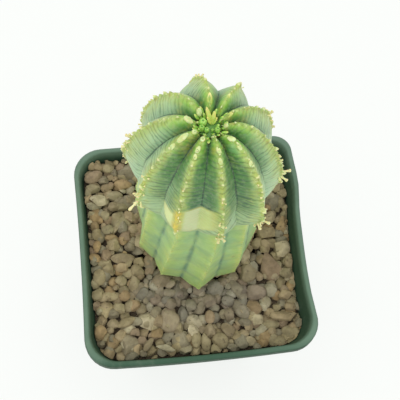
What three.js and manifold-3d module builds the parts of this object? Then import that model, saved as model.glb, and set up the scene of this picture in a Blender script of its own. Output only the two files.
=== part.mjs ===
// A potted euphorbia, a hybrid of the obesa group: a fat ribbed stem with one waist, standing in
// stone chippings in a square plastic nursery pot.
// Millimetres, +Z up. The origin is the middle of the pot's underside, where the pot stands.
import * as THREE from 'three';
import { mergeVertices } from 'three/addons/utils/BufferGeometryUtils.js';
import Module from 'manifold-3d';

const wasm = await Module();
wasm.setup();

// Pot sizes
const RIM_WIDTH = 88;
const POT_HEIGHT = 80;
const FOOT_WIDTH = 58;
const RIM_CORNER = 11;
const FOOT_CORNER = 8;
const WALL = 0.8;
const LIP_DROP = 4.5;
const LIP_HOLLOW = 0.4;
const LIP_FLAT = 1;
const EDGE_ROUND = 0.6;
const SHOULDER_HEIGHT = 60;
const SHOULDER_STEP = 0.6;
// The heights between which the inside of the wall steps out at the shoulder
const SHOULDER_INSIDE = [58.2, 61.2];
const FOOT_RING = 2;
const FOOT_RING_WIDTH = 2.5;
const FLOOR = 1.2;
const DRAIN_RADIUS = 3.5;
const DRAIN_SPREAD = 17;
const DRAIN_SIDES = 16;
// Where points lie along each side, from -1 to 1 between its corners, and the steps round a corner
const SIDE_POINTS = [-0.7, -0.35, 0, 0.35, 0.7];
const CORNER_STEPS = 4;
// How far the rim stands out at those points on each side: right, back, left, front
const SIDE_BOWS = [
  [-0.9, -1.15, -0.9, -0.4, 0.8],
  [0, 0, 0, 0, 0],
  [-0.25, -0.45, -0.5, -0.45, -0.25],
  [0.35, 0.6, 0.7, 0.6, 0.35],
];
// The share of the usual radius that the corner after each side has
const CORNER_SHARES = [0.64, 1, 1, 1];

// What fills the pot
const CLEARANCE = 0.3;
const SOIL_TOP = 57.7;
// The gravel's mean surface at the pot's middle, and how much it rises per millimetre to the right
// and to the back. The bed that the stones are rooted in lies a little lower.
const GRAVEL_TOP = 72.8;
const GRAVEL_RISE = [-0.045, 0.064];
const BED_DROP = 2.6;

// Where the stem stands, and the level of its collar, where the root begins
const STEM_X = 2.1;
const STEM_Y = 7.8;
const COLLAR = 69;

// The stem's outline, from the root's tip to the crown's pit. Each row is one level of it:
// radius and height of the rib's crest, then radius and height of the valley between two ribs.
// Heights are above the collar.
const OUTLINE = [
  [2.5, -30, 2.5, -30],
  [5.5, -22, 5.5, -22],
  [8.5, -13, 8.5, -13],
  [12, -5.5, 12, -5.5],
  [17.5, 0, 16.4, 0],
  [22, 4.6, 19.4, 4.2],
  [23.4, 10, 20.6, 9.5],
  [23.5, 21, 20.7, 20.5],
  [23.2, 34, 20.2, 33.5],
  [22.9, 46, 19.5, 45],
  [22.2, 56, 18.8, 54.5],
  [21.6, 61.5, 18.9, 60.6],
  [23.8, 65.6, 21, 64.8],
  [25.5, 69.4, 22.3, 70],
  [26.3, 74.5, 20.6, 76],
  [24.4, 83, 19.8, 83.5],
  [22.2, 89.4, 17.8, 87.8],
  [19.8, 93.5, 16.2, 91.3],
  [16.4, 98.2, 12.7, 95.8],
  [10, 102.6, 7.4, 99],
  [5.4, 101.4, 4.6, 98],
  [3.9, 97.4, 3.7, 96.6],
];
const COLLAR_ROW = 4;
const BROW_ROW = 17;
// How rounded a rib is between its crest and its valleys, in the old growth, in the crown and at the
// pit, and the rows between which it changes
const RIB_ROUNDNESS = [0.8, 1.12, 1.9];
const ROUNDNESS_ROWS = [8, 14];
const PIT_ROUNDNESS_ROWS = [17.2, 19.5];

// The ribs, counter-clockwise from the right: azimuth in degrees at the pit, at the crown and at the
// foot, then how far the rib reaches out at the crown and at the foot, as a share of the outline.
const RIBS = [
  [-10.4, -18.5, -12.5, 0.95, 0.96],
  [19.4, 24.9, 22, 0.93, 1],
  [51, 60, 56, 0.99, 1],
  [86.3, 97, 90, 0.985, 1],
  [126.7, 137.5, 124, 0.98, 1],
  [169.3, 168, 158, 1.01, 1],
  [207.5, 207, 192.5, 0.99, 0.985],
  [240.8, 240.8, 227, 0.88, 1.015],
  [277.5, 275.5, 264.8, 0.9, 1.045],
  [311, 305.5, 303.8, 1.04, 0.985],
];
// The rows between which a rib turns from its foot to the crown, and then to the pit, and between
// which its reach changes
const FOOT_TURN_ROWS = [4.5, 10.5];
const PIT_TURN_ROWS = [13, 20.5];
const REACH_ROWS = [9, 17];
const STEM_RINGS = 56;
// The rings of the holes for the stem in the gravel and for the root in the soil, and how many rows
// above the collar the gravel's hole ends
const GRAVEL_HOLE_RINGS = 20;
const SOIL_HOLE_RINGS = 8;
const HOLE_ROWS = 4;
const POINTS_PER_RIB = 4;
const TOOTH = 0.35;
const LEVEL_SEARCH_STEPS = 30;

// Dried flower stalks left on the ribs' teeth: rib, height, length, then how far the tip points up
// and how far it turns aside, in degrees
const STALKS = [
  [0, 77, 3.2, 15, 10],
  [0, 75.5, 2.6, -10, -25],
  [1, 84, 2.2, 20, 10],
  [5, 80, 2, -25, 15],
  [5, 84, 2, 5, -20],
  [6, 79, 2, 10, 25],
  [6, 75, 4.6, -35, 10],
  [8, 68, 2.2, -10, 20],
  [8, 66.5, 2, -40, -15],
  [9, 72, 3, 5, 20],
  [9, 70, 2.4, -20, -20],
];
const STALK_RADIUS = 0.65;
const STALK_ROOT = 1.2;

// Young leaves lying up the crests near the pit: rib, the radius at which the leaf is rooted,
// length, width, and how far the tip rises from level in degrees
const YOUNG_LEAVES = [
  [1, 5.3, 3, 1.5, 38],
  [2, 4.7, 3.3, 1.5, 33],
  [2, 8.5, 2.4, 1.2, 20],
  [3, 5.6, 4.2, 1.9, 30],
];
const LEAF_ROOT = 0.8;
const LEAF_THICKNESS_SHARE = 0.6;
const SPINDLE_SIDES = 6;

// Raised scars where leaves have dropped off the crests near the pit: rib, radius, length and width
const SCARS = [
  [0, 4.9, 2.4, 1.6],
  [4, 5.2, 2.6, 1.9],
  [5, 6.7, 3.8, 2.8],
  [6, 6, 2, 1.7],
  [6, 10.1, 3.8, 1.8],
  [6, 13.6, 2.2, 1.4],
  [7, 7.1, 2.2, 1.5],
  [7, 11.1, 2.2, 1.4],
  [7, 13.2, 1.8, 1.2],
  [8, 4.6, 2, 1.6],
  [8, 10.6, 2.2, 1.4],
  [8, 13.6, 2.2, 1.4],
  [9, 7.9, 2.6, 1.7],
  [9, 11, 2.2, 1.4],
  [9, 15.9, 2, 1.3],
];
const SCAR_THICKNESS_SHARE = 0.7;
// A scar's outline, from end to end: shares of its width and of its length
const SCAR_PROFILE = [[0, -0.5], [0.38, -0.32], [0.5, 0], [0.38, 0.32], [0, 0.5]];

// The tuft of youngest leaves in the pit: azimuth, length, width, and rise in degrees. It stands a
// little off the stem's axis.
const TUFT_LEAVES = [
  [112, 6.2, 1.7, 48],
  [68, 4.8, 1.6, 56],
  [141, 3.6, 1.3, 54],
  [38, 3, 1.3, 44],
];
const TUFT_HUB = 1;
const TUFT_X = 0.6;
const TUFT_Y = 0.9;

// Round green flower buds on a pad round the tuft: azimuth, distance out, radius and height
const BUDS = [
  [149, 2.5, 1.25, 3.6],
  [192, 2.75, 0.95, 3.4],
  [224, 1.75, 0.8, 3],
  [322, 2.5, 0.9, 3.2],
  [291, 1.35, 0.5, 2],
  [0, 2.4, 0.55, 2.2],
];
const BUD_SIDES = 8;
const BUD_LEVELS = 5;
const BUD_PAD = 3.3;
const PAD_FOOT = 97.6;
const PAD_TOP = 98.4;
const POST_SIDES = 16;

// Stones that stand out in the gravel: place, length, width, and the turn of the length in degrees
const STONES = [
  // Left of the stem, from the back
  [-34.5, 38, 4.5, 4, 0],
  [-30.5, 37.5, 5, 4.5, 85],
  [-36.5, 33.5, 7, 4.5, 20],
  [-25.5, 29.5, 7.5, 4.5, 175],
  [-37, 29, 5.5, 4, 175],
  [-31.5, 28.5, 4.5, 3.5, 175],
  [-29, 25, 6.5, 4, 175],
  [-35, 23.5, 7, 4.5, 175],
  [-37, 18, 5.5, 4.5, 85],
  [-33, 17.5, 4.5, 4, 85],
  [-29.5, 20.5, 4.5, 3.5, 175],
  [-27, 15, 8, 7.5, 175],
  [-36.5, 9.5, 5, 4.5, 85],
  [-30.5, 5, 5.5, 5.5, 0],
  [-37, 4.5, 4.5, 3, 85],
  [-34, 1, 5, 5, 0],
  [-27.5, -0.5, 8.5, 3.5, 175],
  [-28.5, -4, 6, 3.5, 175],
  [-33.5, -4.5, 5, 4.5, 85],
  [-37, -7.5, 6, 4.5, 85],
  [-29, -9.5, 4, 4, 0],
  [-24, -11, 7, 4, 75],
  [-33.5, -15, 7, 3.5, 175],
  [-28, -15.5, 4, 4, 0],
  [-36, -20, 7.5, 6.5, 85],
  [-30, -20, 4.5, 4.5, 0],
  [-24.5, -19.5, 4.5, 4.5, 0],
  // In front of the stem, from the left
  [-34, -32.5, 5.5, 5.5, 0],
  [-28, -34, 8.5, 7.5, 85],
  [-28, -25.5, 7.5, 3.5, 20],
  [-25, -30, 4, 3, 175],
  [-20, -25.5, 7.5, 7.5, 0],
  [-16.5, -17, 6, 5, 175],
  [-20.5, -35, 6, 2.5, 55],
  [-17, -31, 5.5, 4, 175],
  [-11.5, -26, 9.5, 7.5, 85],
  [-14, -37, 7, 2.5, 160],
  [-7, -14.5, 8, 8, 0],
  [-7.5, -34.5, 7.5, 7.5, 0],
  [-3, -21.5, 5, 4.5, 85],
  [-2, -34.5, 6.5, 3.5, 85],
  [1.5, -36, 7, 3.5, 85],
  [3.5, -32, 5.5, 4, 85],
  [4, -26.5, 5, 3.5, 85],
  [7, -36, 6.5, 6, 85],
  [7.5, -15, 7, 7, 0],
  [10.5, -32, 6, 4.5, 130],
  [11.5, -26, 6, 4, 85],
  [15.5, -36.5, 5.5, 5.5, 0],
  [16, -16.5, 9.5, 4, 125],
  [16.5, -24, 9, 5, 125],
  [17.5, -29.5, 5, 3.5, 165],
  [22, -24, 6, 5, 130],
  [23, -18, 8.5, 5.5, 175],
  [24, -35.5, 7, 6, 85],
  [26.5, -22, 4.5, 4.5, 0],
  [27, -31, 7.5, 3.5, 175],
  [33, -28.5, 10.5, 4, 175],
  [34.5, -34.5, 6, 5, 175],
  // Right of the stem, from the front
  [36.5, -24.5, 5, 4, 10],
  [34.5, -20, 5.5, 4, 175],
  [30.5, -8.5, 12, 8, 115],
  [36.5, -11.5, 4.5, 4.5, 0],
  [21, -10, 7, 7, 0],
  [35.5, -1, 7.5, 7, 80],
  [30.5, 6, 7, 6.5, 0],
  [37, 8, 7.5, 4.5, 80],
  [29, 0.5, 4.5, 4.5, 0],
  [34.5, 18, 10, 8.5, 20],
];
// The stones between them: the widest and the narrowest, how much longer than wide they may be, how
// close two may lie, and how near they come to the pot's wall and to the stem
const FILL_TRIES = 5000;
const FILL_WIDEST = 5.6;
const FILL_NARROWEST = 3.8;
const FILL_STRETCH = 0.5;
const FILL_OVERLAP = 0.95;
const FILL_WALL_SHARE = 0.4;
const FILL_STEM_ROOM = 17;
const STONE_SEED = 41;
// A faceted stone is made a little larger, because its flats lie inside its length and width
const STONE_SWELL = 1.12;
// How far the stones' tops stand above the gravel's mean surface, and their roots below the bed's
const STONE_STANDS = [-0.2, 1.5];
const STONE_ROOT = 1.6;

const radians = THREE.MathUtils.degToRad;

// Repeatable random numbers from 0 to 1
function makeDice(seed) {
  let state = seed;
  return () => {
    state = (state * 1664525 + 1013904223) % 4294967296;
    return state / 4294967296;
  };
}

// A closed skin over rings of points, each end closed by a fan to its middle point
function skin(rings, startMiddle, endMiddle) {
  const around = rings[0].length;
  const points = rings.flat().concat([startMiddle, endMiddle]);
  const faces = [];
  for (let ring = 0; ring + 1 < rings.length; ring += 1) {
    for (let i = 0; i < around; i += 1) {
      const a = ring * around + i;
      const b = ring * around + (i + 1) % around;
      faces.push(a, b, b + around, a, b + around, a + around);
    }
  }
  const last = (rings.length - 1) * around;
  for (let i = 0; i < around; i += 1) {
    const next = (i + 1) % around;
    faces.push(points.length - 2, next, i);
    faces.push(points.length - 1, last + i, last + next);
  }
  const geometry = new THREE.BufferGeometry();
  geometry.setAttribute('position', new THREE.Float32BufferAttribute(points.flat(), 3));
  geometry.setIndex(faces);
  return geometry;
}

// A solid for joining and cutting, from a closed geometry
function solid(geometry) {
  const bare = geometry.clone();
  bare.deleteAttribute('normal');
  bare.deleteAttribute('uv');
  const welded = mergeVertices(bare, 1e-4);
  return new wasm.Manifold(new wasm.Mesh({
    numProp: 3,
    vertProperties: new Float32Array(welded.attributes.position.array),
    triVerts: new Uint32Array(welded.index.array),
  }));
}

// The geometry of a joined or cut solid
function geometryOf(body) {
  const mesh = body.getMesh();
  const geometry = new THREE.BufferGeometry();
  geometry.setAttribute('position', new THREE.Float32BufferAttribute(mesh.vertProperties, 3));
  geometry.setIndex(Array.from(mesh.triVerts));
  geometry.computeVertexNormals();
  return geometry;
}

function joined(parts) {
  return parts.reduce((whole, part) => whole.add(part));
}

// Pot: a rounded square at one height. Its sides are bowed more towards the rim.
function squareRing(half, corner, z) {
  const points = [];
  const straight = half - corner;
  const bowShare = (z / POT_HEIGHT) ** 2;
  for (let side = 0; side < 4; side += 1) {
    const out = radians(side * 90);
    const [outX, outY] = [Math.cos(out), Math.sin(out)];
    SIDE_POINTS.forEach((along, index) => {
      const reach = half + SIDE_BOWS[side][index] * bowShare;
      const across = along * straight;
      points.push([outX * reach - outY * across, outY * reach + outX * across, z]);
    });
    const radius = corner * CORNER_SHARES[side];
    for (let step = 0; step <= CORNER_STEPS; step += 1) {
      const turn = radians(90 * step / CORNER_STEPS);
      const reach = half - radius + radius * Math.cos(turn);
      const across = half - radius + radius * Math.sin(turn);
      points.push([outX * reach - outY * across, outY * reach + outX * across, z]);
    }
  }
  return points;
}

// The outer half width of the pot's wall at a height, and its corner's radius there
function wallHalf(z) {
  const topHalf = RIM_WIDTH / 2 - WALL - LIP_HOLLOW;
  const step = z < SHOULDER_HEIGHT ? SHOULDER_STEP : 0;
  return THREE.MathUtils.mapLinear(z, 0, POT_HEIGHT, FOOT_WIDTH / 2, topHalf) - step;
}

function wallRing(z, inset) {
  const topCorner = RIM_CORNER - WALL - LIP_HOLLOW;
  const corner = THREE.MathUtils.mapLinear(z, 0, POT_HEIGHT, FOOT_CORNER, topCorner);
  return squareRing(wallHalf(z) - inset, corner - inset / 2, z);
}

// A level of the lip, in from the pot's full width
function lipRing(z, inset) {
  return squareRing(RIM_WIDTH / 2 - inset, RIM_CORNER - inset, z);
}

function potBody() {
  const lipUnder = POT_HEIGHT - WALL;
  const lipFoot = POT_HEIGHT - LIP_DROP;
  const floorTop = FOOT_RING + FLOOR;
  const rings = [
    wallRing(FOOT_RING, FOOT_RING_WIDTH),
    wallRing(0, FOOT_RING_WIDTH),
    wallRing(0, EDGE_ROUND),
    wallRing(EDGE_ROUND, 0),
    wallRing(SHOULDER_HEIGHT - SHOULDER_STEP, 0),
    wallRing(SHOULDER_HEIGHT, 0),
    wallRing(lipUnder, 0),
    lipRing(lipUnder, WALL),
    lipRing(lipFoot, WALL),
    lipRing(lipFoot, 0),
    lipRing(POT_HEIGHT - EDGE_ROUND, 0),
    lipRing(POT_HEIGHT, EDGE_ROUND),
    lipRing(POT_HEIGHT, EDGE_ROUND + LIP_FLAT),
    wallRing(POT_HEIGHT - EDGE_ROUND, WALL),
    wallRing(SHOULDER_INSIDE[1], WALL),
    wallRing(SHOULDER_INSIDE[0], WALL),
    wallRing(floorTop, WALL),
  ];
  const shell = solid(skin(rings, [0, 0, FOOT_RING], [0, 0, floorTop]));
  const drain = (x, y) => {
    const bore = new THREE.CylinderGeometry(DRAIN_RADIUS, DRAIN_RADIUS, 4 * FLOOR, DRAIN_SIDES);
    bore.rotateX(Math.PI / 2);
    bore.translate(x, y, FOOT_RING + FLOOR / 2);
    return solid(bore);
  };
  const drains = [drain(0, 0)];
  for (const x of [-DRAIN_SPREAD, DRAIN_SPREAD]) {
    for (const y of [-DRAIN_SPREAD, DRAIN_SPREAD]) {
      drains.push(drain(x, y));
    }
  }
  return shell.subtract(joined(drains));
}

// The gravel's surface, or a level parallel to it, at a place
function gravelLevel(x, y, above) {
  return GRAVEL_TOP + GRAVEL_RISE[0] * x + GRAVEL_RISE[1] * y + above;
}

// The ring where a level parallel to the gravel's surface meets the pot's wall
function slopingRing(above, inset) {
  let ring = wallRing(GRAVEL_TOP + above, inset);
  for (let pass = 0; pass < 4; pass += 1) {
    ring = ring.map(([x, y], index) => wallRing(gravelLevel(x, y, above), inset)[index]);
  }
  return ring;
}

// Soil or gravel from one height up to a ring, clear of the pot's wall and shoulder
function filling(low, topRing, topMiddle) {
  const inset = WALL + CLEARANCE;
  const shoulderRings = SHOULDER_INSIDE
    .filter((z) => z > low && z < topMiddle)
    .map((z) => wallRing(z, inset));
  const rings = [wallRing(low, inset), ...shoulderRings, topRing];
  return solid(skin(rings, [0, 0, low], [0, 0, topMiddle]));
}

// Stem
const crestLine = new THREE.SplineCurve(OUTLINE.map(([r, h]) => new THREE.Vector2(r, h)));
const valleyLine = new THREE.SplineCurve(OUTLINE.map(([, , r, h]) => new THREE.Vector2(r, h)));

// The azimuth of a rib's crest at a row of the outline, in degrees
function ribAzimuth(rib, row) {
  const [pit, crown, foot] = RIBS[rib];
  const body = THREE.MathUtils.lerp(foot, crown, THREE.MathUtils.smoothstep(row, ...FOOT_TURN_ROWS));
  return THREE.MathUtils.lerp(body, pit, THREE.MathUtils.smoothstep(row, ...PIT_TURN_ROWS));
}

function roundnessAt(row) {
  const [old, crown, pit] = RIB_ROUNDNESS;
  const body = THREE.MathUtils.lerp(old, crown, THREE.MathUtils.smoothstep(row, ...ROUNDNESS_ROWS));
  return THREE.MathUtils.lerp(body, pit, THREE.MathUtils.smoothstep(row, ...PIT_ROUNDNESS_ROWS));
}

// The row between two rows of the outline at which the crest passes a mark
function rowWhere(isBefore, first, last) {
  let [low, high] = [first, last];
  for (let step = 0; step < LEVEL_SEARCH_STEPS; step += 1) {
    const middle = (low + high) / 2;
    if (isBefore(crestLine.getPoint(middle / (OUTLINE.length - 1)))) {
      low = middle;
    } else {
      high = middle;
    }
  }
  return (low + high) / 2;
}

// A point on the stem's surface. Across runs from 0 on one crest to 1 on the next crest.
function stemPoint(row, rib, across, grow) {
  const next = (rib + 1) % RIBS.length;
  const start = ribAzimuth(rib, row);
  const gap = THREE.MathUtils.euclideanModulo(ribAzimuth(next, row) - start, 360);
  const near = across < 0.5 ? rib : next;
  const fromCrest = 1 - Math.abs(1 - 2 * across);
  const level = row / (OUTLINE.length - 1);
  const crest = crestLine.getPoint(level);
  const valley = valleyLine.getPoint(level);
  const [crownReach, footReach] = RIBS[near].slice(3);
  const reachShare = THREE.MathUtils.smoothstep(row, ...REACH_ROWS);
  const reach = THREE.MathUtils.lerp(footReach, crownReach, reachShare);
  const weight = 1 - fromCrest ** roundnessAt(row);
  const radius = THREE.MathUtils.lerp(valley.x, crest.x * (row < COLLAR_ROW ? 1 : reach), weight);
  const height = THREE.MathUtils.lerp(valley.y, crest.y, weight);
  const turn = radians(start + gap * across);
  return [
    STEM_X + (radius + grow) * Math.cos(turn),
    STEM_Y + (radius + grow) * Math.sin(turn),
    COLLAR + height,
  ];
}

// The stem's skin up to a row of the outline. Every other level of the crest stands out as a tooth.
function stemSkin(topRow, ringCount, grow, tooth) {
  const rings = [];
  for (let ring = 0; ring < ringCount; ring += 1) {
    const row = topRow * ring / (ringCount - 1);
    const points = [];
    for (let rib = 0; rib < RIBS.length; rib += 1) {
      for (let step = 0; step < POINTS_PER_RIB; step += 1) {
        const bump = step === 0 && row > COLLAR_ROW + 1 ? tooth * (ring % 2 ? 1 : -1) : 0;
        points.push(stemPoint(row, rib, step / POINTS_PER_RIB, grow + bump));
      }
    }
    rings.push(points);
  }
  const lowest = [STEM_X, STEM_Y, rings[0][0][2]];
  const topRing = rings[ringCount - 1];
  const highest = [STEM_X, STEM_Y, topRing.reduce((sum, point) => sum + point[2], 0) / topRing.length];
  return solid(skin(rings, lowest, highest));
}

// A slim shape from one place, pointing along a direction: a stalk, or a leaf when it is flattened
function spindle(place, azimuth, rise, profile, flatten) {
  const outline = profile.map(([r, l]) => new THREE.Vector2(r, l));
  const shape = new THREE.LatheGeometry(outline, SPINDLE_SIDES);
  shape.rotateX(Math.PI / 2);
  shape.scale(flatten, 1, 1);
  shape.rotateY(radians(90 - rise));
  shape.rotateZ(radians(azimuth));
  shape.translate(...place);
  return solid(shape);
}

// A dried stalk on the outside of a crest, thin at its neck and wider at its broken tip
function stalk([rib, height, length, rise, turn]) {
  const row = rowWhere((crest) => crest.y < height, COLLAR_ROW, BROW_ROW + 2);
  const place = stemPoint(row, rib, 0, -STALK_ROOT);
  const azimuth = ribAzimuth(rib, row) + turn;
  const [neck, tip] = [0.75 * STALK_RADIUS, 1.3 * STALK_RADIUS];
  const whole = length + STALK_ROOT;
  const profile = [[0, 0], [STALK_RADIUS, 0], [neck, 0.8 * length], [tip, 0.85 * whole], [0, whole]];
  return spindle(place, azimuth, rise, profile, 1);
}

// A leaf that is widest a third of the way along
function leaf(place, azimuth, length, width, rise) {
  const foot = 0.3 * width;
  const profile = [[0, -LEAF_ROOT], [foot, -LEAF_ROOT], [width / 2, length / 3], [0, length]];
  return spindle(place, azimuth, rise, profile, LEAF_THICKNESS_SHARE);
}

// A leaf on the inside of a crest, near the pit
function youngLeaf([rib, radius, length, width, rise]) {
  const row = rowWhere((crest) => crest.x > radius, BROW_ROW, OUTLINE.length - 1);
  return leaf(stemPoint(row, rib, 0, 0), RIBS[rib][0], length, width, rise);
}

// An oval scar that lies along the inside of a crest
function scar([rib, radius, length, width]) {
  const row = rowWhere((crest) => crest.x > radius, BROW_ROW, OUTLINE.length - 1);
  const level = row / (OUTLINE.length - 1);
  const slope = crestLine.getTangent(level);
  const rise = Math.atan(slope.y / slope.x) * THREE.MathUtils.RAD2DEG;
  const profile = SCAR_PROFILE.map(([across, along]) => [across * width, along * length]);
  return spindle(stemPoint(row, rib, 0, 0), RIBS[rib][0], rise, profile, SCAR_THICKNESS_SHARE);
}

function stemBody() {
  const body = stemSkin(OUTLINE.length - 1, STEM_RINGS, 0, TOOTH);
  return joined([body, ...STALKS.map(stalk), ...YOUNG_LEAVES.map(youngLeaf), ...SCARS.map(scar)]);
}

// A round post in the crown's pit, off the stem's axis, between two heights above the collar
function pitPost(x, y, radius, foot, top) {
  const post = new THREE.CylinderGeometry(radius, radius, top - foot, POST_SIDES);
  post.rotateX(Math.PI / 2);
  post.translate(STEM_X + x, STEM_Y + y, COLLAR + (foot + top) / 2);
  return solid(post);
}

function tuftBody() {
  const hubTop = PAD_TOP + TUFT_HUB / 2;
  const place = [STEM_X + TUFT_X, STEM_Y + TUFT_Y, COLLAR + hubTop];
  const leaves = TUFT_LEAVES.map(([azimuth, length, width, rise]) => (
    leaf(place, azimuth, length, width, rise)
  ));
  return joined([pitPost(TUFT_X, TUFT_Y, TUFT_HUB, PAD_FOOT, hubTop), ...leaves]);
}

function budsBody() {
  const buds = BUDS.map(([azimuth, distance, radius, height]) => {
    const bud = new THREE.SphereGeometry(radius, BUD_SIDES, BUD_LEVELS);
    bud.rotateX(Math.PI / 2);
    bud.scale(1, 1, height / 2 / radius);
    const x = STEM_X + distance * Math.cos(radians(azimuth));
    const y = STEM_Y + distance * Math.sin(radians(azimuth));
    bud.translate(x, y, COLLAR + PAD_FOOT + CLEARANCE + height / 2);
    return solid(bud);
  });
  const pad = pitPost(0, 0, BUD_PAD, PAD_FOOT, PAD_TOP);
  const holeTop = POT_HEIGHT + PAD_TOP;
  const hole = pitPost(TUFT_X, TUFT_Y, TUFT_HUB + CLEARANCE, PAD_FOOT - CLEARANCE, holeTop);
  return joined([pad, ...buds]).subtract(hole);
}

// Gravel: every stone's place, length, width and turn. The ones that stand out come first, and the
// rest are strewn between them, the widest first, clear of the pot's wall.
function stoneLayout() {
  const dice = makeDice(STONE_SEED);
  const stones = STONES.map((row) => [...row]);
  const edge = wallHalf(GRAVEL_TOP) - WALL - CLEARANCE;
  for (let attempt = 0; attempt < FILL_TRIES; attempt += 1) {
    const x = edge * (2 * dice() - 1);
    const y = edge * (2 * dice() - 1);
    const width = THREE.MathUtils.lerp(FILL_WIDEST, FILL_NARROWEST, attempt / FILL_TRIES);
    const length = width * (1 + FILL_STRETCH * dice());
    const turn = 180 * dice();
    const offStem = Math.hypot(x - STEM_X, y - STEM_Y) > FILL_STEM_ROOM;
    const offWall = Math.max(Math.abs(x), Math.abs(y)) < edge - FILL_WALL_SHARE * width;
    const free = stones.every(([otherX, otherY, otherLength, otherWidth]) => {
      const room = (width + length + otherLength + otherWidth) / 4;
      return Math.hypot(x - otherX, y - otherY) > FILL_OVERLAP * room;
    });
    if (offStem && offWall && free) {
      stones.push([x, y, length, width, turn]);
    }
  }
  return stones;
}

function stone([x, y, length, width, turn], dice) {
  const top = gravelLevel(x, y, THREE.MathUtils.lerp(...STONE_STANDS, dice()));
  const foot = gravelLevel(x, y, -BED_DROP - STONE_ROOT);
  const shape = new THREE.IcosahedronGeometry(0.5, 0);
  shape.rotateX(dice() * Math.PI);
  shape.rotateY(dice() * Math.PI);
  shape.scale(length, width, top - foot);
  shape.scale(STONE_SWELL, STONE_SWELL, STONE_SWELL);
  shape.rotateZ(radians(turn));
  shape.translate(x, y, (top + foot) / 2);
  return solid(shape);
}

// Keeps the main body of a cut solid and drops the loose scraps
function mainBody(body) {
  const pieces = body.decompose();
  return pieces.reduce((best, piece) => (piece.volume() > best.volume() ? piece : best));
}

function gravelBody() {
  const dice = makeDice(STONE_SEED + 1);
  const foot = SOIL_TOP + CLEARANCE;
  const inset = WALL + CLEARANCE;
  const stones = stoneLayout().map((row) => stone(row, dice));
  const level = (above) => filling(foot, slopingRing(above, inset), GRAVEL_TOP + above);
  const room = level(2 * STONE_STANDS[1]);
  const stemHole = stemSkin(COLLAR_ROW + HOLE_ROWS, GRAVEL_HOLE_RINGS, CLEARANCE + TOOTH, 0);
  return mainBody(joined([level(-BED_DROP), ...stones]).intersect(room).subtract(stemHole));
}

// Soil, with a plain hole for the root
function soilBody() {
  const root = stemSkin(COLLAR_ROW, SOIL_HOLE_RINGS, CLEARANCE, 0);
  const foot = FOOT_RING + FLOOR + CLEARANCE;
  return filling(foot, wallRing(SOIL_TOP, WALL + CLEARANCE), SOIL_TOP).subtract(root);
}

const FINISHES = {
  pot: { color: 0x4f6b54, roughness: 0.55, metalness: 0 },
  soil: { color: 0x3a2e24, roughness: 1, metalness: 0 },
  gravel: { color: 0x8f8168, roughness: 0.95, metalness: 0 },
  stem: { color: 0x86a877, roughness: 0.6, metalness: 0 },
  young_leaves: { color: 0xc3cf5e, roughness: 0.6, metalness: 0 },
  flower_buds: { color: 0x6f9c3c, roughness: 0.6, metalness: 0 },
};

const BODIES = {
  pot: potBody,
  soil: soilBody,
  gravel: gravelBody,
  stem: stemBody,
  young_leaves: tuftBody,
  flower_buds: budsBody,
};

const plant = new THREE.Group();
for (const [name, makeBody] of Object.entries(BODIES)) {
  const mesh = new THREE.Mesh(geometryOf(makeBody()), new THREE.MeshStandardMaterial(FINISHES[name]));
  mesh.name = name;
  plant.add(mesh);
}
export default plant;
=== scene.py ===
"""The looks of a potted euphorbia, a hybrid of the obesa group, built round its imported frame.

A fat stem with ten ribs, grown in two tiers, stands in stone chippings in a square plastic nursery
pot. Sizes in the tables are millimetres in the frame's own axes, and MM turns them into metres.
"""
import math
import random

import bpy
import numpy as np
from bpy.props import FloatProperty, FloatVectorProperty, PointerProperty
from mathutils import Matrix, Vector


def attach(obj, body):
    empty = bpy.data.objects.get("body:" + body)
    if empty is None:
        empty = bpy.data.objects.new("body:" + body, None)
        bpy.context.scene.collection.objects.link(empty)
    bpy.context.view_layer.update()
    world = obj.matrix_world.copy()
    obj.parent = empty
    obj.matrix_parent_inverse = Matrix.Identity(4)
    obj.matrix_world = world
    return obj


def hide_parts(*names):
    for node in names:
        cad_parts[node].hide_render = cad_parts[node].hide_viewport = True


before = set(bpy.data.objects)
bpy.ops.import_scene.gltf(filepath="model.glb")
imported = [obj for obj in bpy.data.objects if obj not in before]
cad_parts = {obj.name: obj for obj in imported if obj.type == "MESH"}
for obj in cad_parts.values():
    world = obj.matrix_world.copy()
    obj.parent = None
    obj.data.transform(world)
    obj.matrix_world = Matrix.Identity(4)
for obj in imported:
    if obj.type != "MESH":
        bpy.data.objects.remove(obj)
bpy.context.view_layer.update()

bl_info = {
    "name": "Potted euphorbia",
    "version": (1, 0, 0),
    "blender": (4, 5, 0),
    "location": "3D View > Sidebar > Euphorbia",
    "description": "Dresses a ribbed euphorbia in a square nursery pot",
    "category": "Add Mesh",
}

MM = 0.001
BODY = "root"

# Pot, in millimetres
RIM_WIDTH = 88
POT_HEIGHT = 80
FOOT_WIDTH = 58
RIM_CORNER = 11
WALL = 0.8
LIP_DROP = 4.5
LIP_HOLLOW = 0.4
LIP_FLAT = 1
EDGE_ROUND = 0.6
SHOULDER_HEIGHT = 60
SHOULDER_STEP = 0.6
SHOULDER_INSIDE = (58.2, 61.2)
FOOT_RING = 2
FOOT_RING_WIDTH = 2.5
FLOOR = 1.2
DRAIN_RADIUS = 3.5
DRAIN_SPREAD = 17
DRAIN_SIDES = 32
# A corner's radius as a share of the half width, and the share of it that the corner after each side
# has: right, back, left, front
CORNER_SHARE = RIM_CORNER / (RIM_WIDTH / 2)
CORNER_SHARES = (0.64, 1, 1, 1)
# How far the rim stands out at points along each side, from -1 to 1 between its corners
SIDE_POINTS = (-0.7, -0.35, 0, 0.35, 0.7)
SIDE_BOWS = (
    (-0.9, -1.15, -0.9, -0.4, 0.8),
    (0, 0, 0, 0, 0),
    (-0.25, -0.45, -0.5, -0.45, -0.25),
    (0.35, 0.6, 0.7, 0.6, 0.35),
)
SIDE_CUTS = 13
CORNER_STEPS = 8

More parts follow.
